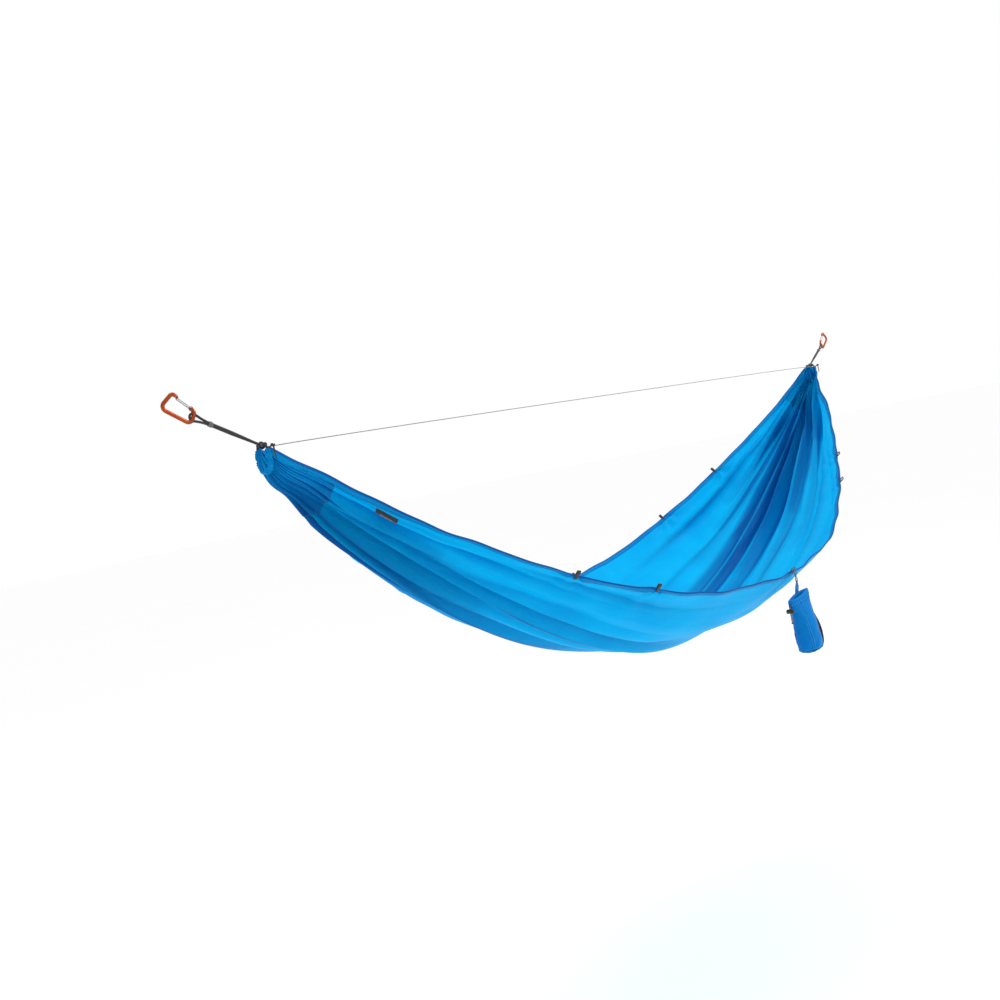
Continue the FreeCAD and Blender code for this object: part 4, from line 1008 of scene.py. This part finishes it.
def make_gather_knot(end):
    """Stopper knot of the gather cord, with its short tail and the cord that leads to it."""
    side = -1 if end == "head" else 1
    centre = HEAD_GATHER + Vector((0.004, side * 0.036, -0.005))
    knot = knot_piece("knot", at_end(end, centre), 0.0042, 0.4, 0.0016, black_braid, 14)
    tail = [(0, 0, 0), (0.0010, 0, -0.008), (-0.0006, 0, -0.017), (0.0012, side * 0.001, -0.0285)]
    hanging = tube_piece("tail", end_line(end, [centre + Vector(step) for step in tail], 0.0009),
                         lambda share: 0.0018 - 0.0004 * share, black_braid, 24, braid(8, 0.006))
    route = [(0.0, side * 0.0180, -0.0135), (0.0012, side * 0.0250, -0.0078),
             (0.003, side * 0.0310, -0.0052), (0.004, side * 0.0360, -0.005)]
    leading = tube_piece("leading", end_line(end, [HEAD_GATHER + Vector(step) for step in route], 0.0009),
                         0.0018, black_braid, 24, braid(8, 0.006))
    piece = join_pieces(end + "_gather_stopper", [knot, hanging, leading])
    finish_piece(piece, "hammock", "black_braid", end + "_gather_knot")


def make_channel(end):
    """Fabric tunnel pushed together on the gather cord, full of small sharp puckers."""
    line = gather_line(end, [(GATHER_LOOP_HALF, -0.009), (GATHER_LOOP_HALF, -0.020)], 0.00045)
    draws = random.Random(5 if end == "head" else 6)
    phases = [draws.uniform(0, 6.28) for _ in range(6)]

    def puckers(turns, arc):
        slow = arc + 0.0030 * np.sin(arc * 310 + phases[0]) + 0.0016 * np.sin(turns + phases[1])
        crease = 0.30 * np.abs(np.sin(slow * math.pi / 0.0088 + 0.35 * np.sin(turns * 2 + phases[3])))
        crease += 0.12 * np.abs(np.sin(slow * math.pi / 0.0037 + phases[2]))
        return crease - 0.32 + 0.10 * np.sin(2 * turns + phases[4]) * np.sin(arc * 260 + phases[5])

    def size(share):
        return 0.0078 - 0.0030 * math.exp(-min(share, 1 - share) / 0.06)

    piece = tube_piece(end + "_channel_fabric", line, size, double_nylon, 44, puckers)
    finish_piece(piece, "hammock", "double_nylon", end + "_end_channel")


def make_bunch(end, face):
    """Pleats of the fabric's end, drawn together over the gather cord's loop. face is 1 towards the bed."""
    rows, columns = 30, 260
    share, across = np.meshgrid(np.linspace(0.05, 1.0, rows), np.linspace(-1.0, 1.0, columns), indexing="ij")
    quarter = across * math.pi / 2
    shift = (0.0 if end == "head" else 1.3) + face
    drawn = across + 0.04 * np.sin(across * 9 + shift) + 0.05 * (1 - share) * np.sin(across * 3 + shift)
    crest = np.abs(np.cos(drawn * 8.5 + shift))
    small = np.abs(np.cos(drawn * 21 + 2.0 * share + shift))
    out = share ** 0.7
    fold = out * (0.0085 * crest + 0.0026 * small)
    wide, deep = (1.04, 1.24) if face > 0 else (1.06, 1.06)
    if face > 0:
        x = 0.0035 + 0.0130 * (1 - share) ** 0.8 + fold
    else:
        x = -0.0040 - 0.0030 * np.sin(share * math.pi) - fold * 0.6 + 0.003 * share ** 6
    y = (0.0190 * wide * share ** 0.8 + 0.0012 * crest * out) * np.sin(quarter)
    z = -0.0040 - (0.0545 * deep * share + 0.0020 * crest * out) * np.cos(quarter)
    z -= 0.010 * share * np.abs(np.sin(quarter)) ** 3
    points = np.stack([x, y, z], axis=-1) + np.array(HEAD_GATHER)
    if end == "foot":
        points = np.stack([FOOT_X - points[..., 0], -points[..., 1], points[..., 2]], axis=-1)
    uvs = np.stack([across * 0.2, share * 0.06], axis=-1)
    side = "inner" if face > 0 else "outer"
    # Painted shade in the troughs between the pleat crests.
    piece = mesh_piece("%s_gathered_%s_pleats" % (end, side), points, grid_faces(rows, columns),
                       double_nylon, uvs, fold_shade=2.2 * bell(crest, 0.38) + 0.1)
    finish_piece(piece, "hammock", "double_nylon")


def make_ridge_knot(end):
    """Ridgeline knot: two legs round the gather cord's bar, and a small knot."""
    centre = HEAD_GATHER + Vector((0.0135, 0.0, -0.005))
    pieces = [knot_piece("knot", at_end(end, centre), 0.0030, 1.1, 0.0011, grey_braid, 12)]
    angles = np.radians(-70 - 36 * np.arange(10))
    for side in (-1, 1):
        y = side * 0.0049
        points = [centre + Vector((-0.001, side * 0.0008, 0.0)),
                  HEAD_GATHER + Vector((0.0075, y * 0.7, -0.0052))]
        points += circle(HEAD_GATHER, 0.0039, angles, y)
        points += [HEAD_GATHER + Vector((0.0070, y * 0.5, -0.0030)), centre + Vector((-0.001, 0.0, 0.0015))]
        pieces.append(tube_piece("leg", end_line(end, points, 0.0007), 0.00105, grey_braid, 12))
    piece = join_pieces(end + "_ridgeline_hitch", pieces)
    return finish_piece(piece, "hammock", "grey_braid", end + "_ridgeline_knot")


RIDGE_ROUTE = [(0.0169, 0.0, -0.005), (0.070, 0.0, 0.0), (2.630, 0.0, 0.0), (2.6831, 0.0, -0.005)]


def cord_curve(name, points, radius, material):
    """Round cord on one smooth NURBS line."""
    curve = new_curve(name, points)
    curve.bevel_depth = radius
    curve.bevel_resolution = 3
    curve.use_fill_caps = True
    curve.materials.append(material)
    return place_object(name, curve)


def make_ridgeline():
    """Thin tight cord between the gathers."""
    points = [HEAD_GATHER + Vector(step) for step in RIDGE_ROUTE]
    piece = cord_curve("ridgeline_cord", points, 0.0011, grey_braid)
    finish_piece(piece, "hammock", "grey_braid", "ridgeline")
    knots = [make_ridge_knot(end) for end in ("head", "foot")]


for end in ("head", "foot"):
    make_suspension(end)
    make_gather_cord(end)
    make_wraps(end)
    make_gather_knot(end)
    make_channel(end)
    make_bunch(end, 1)
    make_bunch(end, -1)
    keep(end + "_carabiner_body", orange_metal)
    keep(end + "_gate_wire", steel)
make_ridgeline()


# ---------------------------------------------------------------- stuff sack

SACK_PIVOT = Vector((1.598176, -0.433264, -0.719719))
LINK_RING = Vector((1.598176, -0.433264, -0.746319))
SACK_MOUTH = Vector((1.598176, -0.433264, -0.787719))
SACK_LEAN = math.radians(6)
SACK_BALANCE_DEPTH = 0.084
EYELET_STEP = Vector((-0.0585, 0.0, -0.008))
SACK_OUTLINE = [(0.0600, 0.012, 0.0), (0.0575, 0.015, 0.017), (0.0475, 0.022, 0.040), (0.0430, 0.031, 0.084),
                (0.0432, 0.035, 0.140), (0.0405, 0.0328, 0.162)]
CHANNEL_DEPTH = 0.016
SACK_MEAN_RADIUS = 0.042
SACK_THICK = 0.0007
SACK_FOOT = 0.1615


def sack_world(points):
    """From the sack's own frame, which leans about the middle of its weight, to the part's."""
    points = np.asarray(points, dtype=float)
    cos, sin = math.cos(SACK_LEAN), math.sin(SACK_LEAN)
    x, y, z = points[..., 0], points[..., 1], points[..., 2] + SACK_BALANCE_DEPTH
    turned = np.stack([x * cos - z * sin, y, x * sin + z * cos - SACK_BALANCE_DEPTH], axis=-1)
    return turned + np.array(SACK_MOUTH)


def sack_radii(depth):
    """Half width and half depth of the sack at a depth below its mouth."""
    wide, deep, depths = zip(*SACK_OUTLINE)
    return np.interp(depth, depths, wide), np.interp(depth, depths, deep)


def turned_from(turn, place):
    """Angle from a place round the sack, between half a turn back and half a turn on."""
    return (turn - place + math.pi) % (2 * math.pi) - math.pi


def sack_creases():
    """Soft dents and creases of the slack fabric: turn, depth, length, width, direction and height."""
    draws = random.Random(23)
    bounds = ((0, 2 * math.pi), (0.018, 0.158), (0.012, 0.045), (0.003, 0.008), (-1.2, 1.2),
              (-0.0026, 0.0020))
    return [[draws.uniform(*pair) for pair in bounds] for _ in range(46)]


SACK_CREASES = sack_creases()


def sack_surface(turn, depth, grow=0.0):
    """Points of the sack's fabric in its own frame."""
    half_x, half_y = sack_radii(depth)
    lift = np.zeros_like(depth)
    for place, low, length, width, direction, height in SACK_CREASES:
        across = turned_from(turn, place) * SACK_MEAN_RADIUS
        down = depth - low
        along = across * math.sin(direction) + down * math.cos(direction)
        beside = across * math.cos(direction) - down * math.sin(direction)
        lift += height * np.exp(-(along / length) ** 2 - (beside / width) ** 2)
    lift += 0.0011 * bell(depth - CHANNEL_DEPTH, 0.014) * np.sin(turn * 26 + 0.8 * np.sin(turn * 3))
    lift += 0.0008 * np.sin(turn * 9 + depth * 160) * bell(depth - 0.162, 0.02)
    lift += 0.0011 * bell(turned_from(turn, 4.02), 0.035)
    x = (half_x + grow + lift) * np.cos(turn)
    y = (half_y + grow + lift) * np.sin(turn)
    z = -depth + 0.0012 * np.sin(turn * 2 + 0.5) * np.minimum(1, depth / 0.05)
    return np.stack([x, y, z], axis=-1)


def make_sack_body():
    """Slack fabric tube of the sack, with a thin inside."""
    turns = np.linspace(0, 2 * math.pi, 220, endpoint=False)
    turn, depth = np.meshgrid(turns, np.linspace(CHANNEL_DEPTH - 0.001, 0.1625, 150))
    inside = sack_surface(turn, depth, -SACK_THICK)[::-1]
    points = sack_world(np.concatenate([sack_surface(turn, depth), inside]))
    lay = np.concatenate([depth, depth[::-1]])
    uvs = np.stack([np.concatenate([turn, turn]) * SACK_MEAN_RADIUS, lay], axis=-1)
    faces = grid_faces(*lay.shape, wrap_rows=True, wrap_columns=True)
    return mesh_piece("sack_body_fabric", points, [face[::-1] for face in faces], sack_nylon, uvs)


def make_sack_base():
    """Oval base panel that bulges under what is in the sack."""
    rings, sides = 34, 160
    points = []
    for ring in range(rings):
        share = 1 - ring / rings
        for turn in np.linspace(0, 2 * math.pi, sides, endpoint=False):
            x, y = 0.0418 * share * math.cos(turn), 0.0338 * share * math.sin(turn)
            bulge = 0.0098 * (1 - share ** 3.2)
            wrinkle = 0.0009 * math.sin(turn * 11 + 2 * share) * share ** 4
            wrinkle += 0.0006 * math.sin(x * 300 + y * 190)
            points.append((x, y, -SACK_FOOT - bulge - wrinkle))
    points.append((0.0, 0.0, -SACK_FOOT - 0.010))
    faces = grid_faces(rings, sides, wrap_columns=True)
    last = (rings - 1) * sides
    faces += [(rings * sides, last + side, last + (side + 1) % sides) for side in range(sides)]
    return mesh_piece("sack_base_fabric", sack_world(points), faces, sack_nylon, np.array(points)[:, :2])


def make_sack_channel():
    """Mouth hem with the drawcord's tunnel inside and puckers on its lower seam."""
    turns = np.linspace(0, 2 * math.pi, 300, endpoint=False)
    outline = [(0.0165, 0.0002), (0.0140, 0.0010), (0.0090, 0.0016), (0.0045, 0.0014),
               (0.0012, 0.0006), (-0.0004, -0.0010), (0.0002, -0.0050), (0.0034, -0.0080),
               (0.0088, -0.0088), (0.0140, -0.0066), (0.0165, -0.0018)]
    rows, uvs = [], []
    for depth, out in outline:
        pucker = 0.0007 * np.sin(turns * 31 + 1.3 * np.sin(turns * 4)) * (0.4 + depth / 0.016)
        half_x, half_y = sack_radii(depth)
        wave = 0.0016 * np.sin(turns * 3 + 0.7) * max(0.0, 1 - depth / 0.012)
        rows.append(np.stack([(half_x + out + pucker) * np.cos(turns),
                              (half_y + out + pucker) * np.sin(turns), -depth - wave * 0.6], axis=-1))
        uvs.append(np.stack([turns * 0.045, 0 * turns + depth + out], axis=-1))
    faces = grid_faces(len(outline), len(turns), wrap_rows=True, wrap_columns=True)
    return mesh_piece("sack_mouth_hem", sack_world(rows), [face[::-1] for face in faces], sack_nylon, uvs)


def make_sack_stitches():
    """Stitches under the mouth hem, along the side seam and round the base."""
    points, faces = [], []
    round_turns = np.linspace(0, 2 * math.pi, 88, endpoint=False)
    seam_depths = np.arange(0.021, 0.156, 0.0034)
    rows = [(round_turns, 0.0136 + 0 * round_turns, 0.0017), (round_turns, 0.1570 + 0 * round_turns, 0.0009),
            (4.10 + 0 * seam_depths, seam_depths, 0.0009), (3.94 + 0 * seam_depths, seam_depths, 0.0009)]
    for turns, depth, grow in rows:
        centres = sack_world(sack_surface(turns, depth, grow))
        if turns is round_turns:
            ahead = np.roll(centres, -1, axis=0) - np.roll(centres, 1, axis=0)
        else:
            ahead = np.gradient(centres, axis=0)
        normal = sack_world(sack_surface(turns, depth, grow + 0.001)) - centres
        add_stitches(points, faces, centres, ahead, normal, 0.0022, 0.00032)
    return mesh_piece("sack_stitches", points, faces, seam_thread, np.array(points)[:, ::2])


def ribbon_piece(name, line, across, width, thick, material, wave=0.0):
    """Flat woven tape along a line. across is the direction of its width."""
    points, uvs = [], []
    upper = [(-0.5, 0.4), (-0.46, 0.5), (-0.30, 0.46), (0.0, 0.5), (0.30, 0.46), (0.46, 0.5), (0.5, 0.4)]
    outline = [(-0.5, -0.4)] + upper + [(a, -b) for a, b in reversed(upper[1:])]
    aheads = unit(np.gradient(line, axis=0))
    for index, (centre, ahead, arc) in enumerate(zip(line, aheads, arc_lengths(line))):
        wide = unit(across - ahead * np.dot(across, ahead))
        out = np.cross(ahead, wide)
        size = width(index / (len(line) - 1))
        for a, b in outline:
            sway = wave * math.sin(arc * 180 + a * 3)
            points.append(centre + wide * (size * a) + out * (thick * b + sway))
            uvs.append((0.01 * a, arc))
    return mesh_piece(name, points, tube_faces(len(line), len(outline)), material, uvs)


def make_sack_strap():
    """Flat tape from the link's ring to the seam inside the mouth."""
    foot = LINK_RING - Vector((0, 0, 0.005))
    route = [(0.0002, -0.0022), (0.0009, -0.008), (0.0042, -0.022), (0.0072, -0.036), (0.0088, -0.046)]
    line = spaced(spline_line([foot + Vector((0, y, z)) for y, z in route]), 0.0010)
    tape = ribbon_piece("tape", line, np.array([0.82, -0.57, 0]),
                        lambda share: 0.0042 + 0.0070 * min(1.0, share / 0.3) ** 0.7, 0.0013,
                        blue_webbing, 0.0001)
    bight = np.array([foot + Vector((0, 0.0023 * math.cos(angle), 0.0002 + 0.0023 * math.sin(angle)))
                      for angle in np.linspace(0, 2 * math.pi, 21)])
    fold = ribbon_piece("fold", bight, np.array([1.0, 0, 0]), lambda share: 0.0042, 0.0011, blue_webbing)
    strap = join_pieces("sack_strap_tape", [tape, fold])
    finish_piece(strap, "stuff_sack", "blue_webbing", "sack_hanging_strap")


def make_link():
    """Thin cord through the edge loop, tied into a triangle with a small ring at its foot."""
    right = [(0.004675, 0.0), (0.007905, -0.0008), (0.0068, -0.0048), (0.00357, -0.01248),
             (0.00119, -0.02064)]
    outline = [(0, 0)] + right + [(0.0, -0.02328)] + [(-x, z) for x, z in reversed(right)]
    points = [SACK_PIVOT + Vector((x, 0.0, z)) for x, z in outline]
    line = spaced(spline_line(points, cyclic=True), 0.0006, closed=True)
    loop = tube_piece("link", line, 0.0011, black_braid, 16, braid(6, 0.004, 0.14), closed=True)
    line = np.array(circle(LINK_RING, 0.005, np.linspace(0, 2 * math.pi, 48, endpoint=False)))
    ring = tube_piece("ring", line, 0.0012, black_braid, 16, closed=True)
    finish_piece(join_pieces("sack_link_loop", [loop, ring]), "sack_link", "black_braid", "sack_link_cord")


GRAB_ROUTE = [(0.0400, -0.072), (0.0420, -0.082), (0.0500, -0.102), (0.0530, -0.138), (0.0480, -0.164),
              (0.0360, -0.1738), (0.0250, -0.1722), (0.0120, -0.1722)]


def make_grab_loop():
    """Black webbing handle from the sack's side to its base."""
    turn = math.radians(-20)
    points = [(x * math.cos(turn), x * math.sin(turn), z) for x, z in GRAB_ROUTE]
    line = spaced(spline_line(sack_world(points)), 0.0012)
    across = np.array([-math.sin(turn), math.cos(turn), 0.0])
    piece = ribbon_piece("sack_grab_webbing", line, across, lambda share: 0.010, 0.0015,
                         black_ribbon, 0.00015)
    finish_piece(piece, "stuff_sack", "black_ribbon", "sack_grab_loop")


DRAWCORD_STEPS = [(0.0, 0.0), (-0.004, -0.0045), (-0.0055, -0.011), (-0.0057, -0.052)]
DRAWCORD_HALF_GAP = 0.00125


def make_drawcord():
    """Two hanging strands and their end knot."""
    eyelet = Vector(sack_world(np.array(EYELET_STEP)))
    knot_centre = eyelet + Vector((DRAWCORD_STEPS[-1][0], 0.0, DRAWCORD_STEPS[-1][1] - 0.0031))
    knot = knot_piece("drawcord_end_knot", knot_centre, 0.0027, 0.5, 0.00105, black_braid, 12)
    finish_piece(knot, "stuff_sack", "black_braid", "drawcord_knot")
    for index, side in enumerate((-1, 1)):
        points = [eyelet + Vector((x, side * DRAWCORD_HALF_GAP, z)) for x, z in DRAWCORD_STEPS]
        strand = cord_curve("drawcord_strand_%d" % (index + 1), points, 0.00095, black_braid)
        finish_piece(strand, "stuff_sack", "black_braid", *(["drawcord"] if index == 0 else []))


def make_lock_spring():
    """Coil spring behind the button, filling the box of the CAD spring."""
    node = nodes["cord_lock_spring"]
    corners = np.array([node.matrix_world @ Vector(corner) for corner in node.bound_box])
    lowest, highest = corners.min(axis=0), corners.max(axis=0)
    middle, wire, turns = (lowest + highest) / 2, 0.00035, 3
    coil = (highest[0] - lowest[0]) / 2 - wire
    share = np.linspace(0.0, 1.0, turns * 28 + 1)
    angle = 2 * math.pi * turns * share
    along = lowest[1] + wire + share * (highest[1] - lowest[1] - 2 * wire)
    line = np.stack([middle[0] + coil * np.cos(angle), along, middle[2] + coil * np.sin(angle)], axis=-1)
    spring = tube_piece("cord_lock_coil", line, wire, steel, 12)
    finish_piece(spring, "cord_lock", "steel_wire", "cord_lock_spring")
    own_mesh(spring)


finish_piece(make_sack_body(), "stuff_sack", "blue_nylon", "stuff_sack_body")
finish_piece(make_sack_base(), "stuff_sack", "double_nylon", "stuff_sack_base")
finish_piece(make_sack_channel(), "stuff_sack", "hem_nylon", "sack_mouth_channel")
finish_piece(make_sack_stitches(), "stuff_sack", "hem_nylon")
make_sack_strap()
make_link()
make_grab_loop()
make_drawcord()
keep("drawcord_in_channel", black_braid)
keep("cord_lock_barrel", black_plastic)
keep("cord_lock_button", black_plastic)
make_lock_spring()
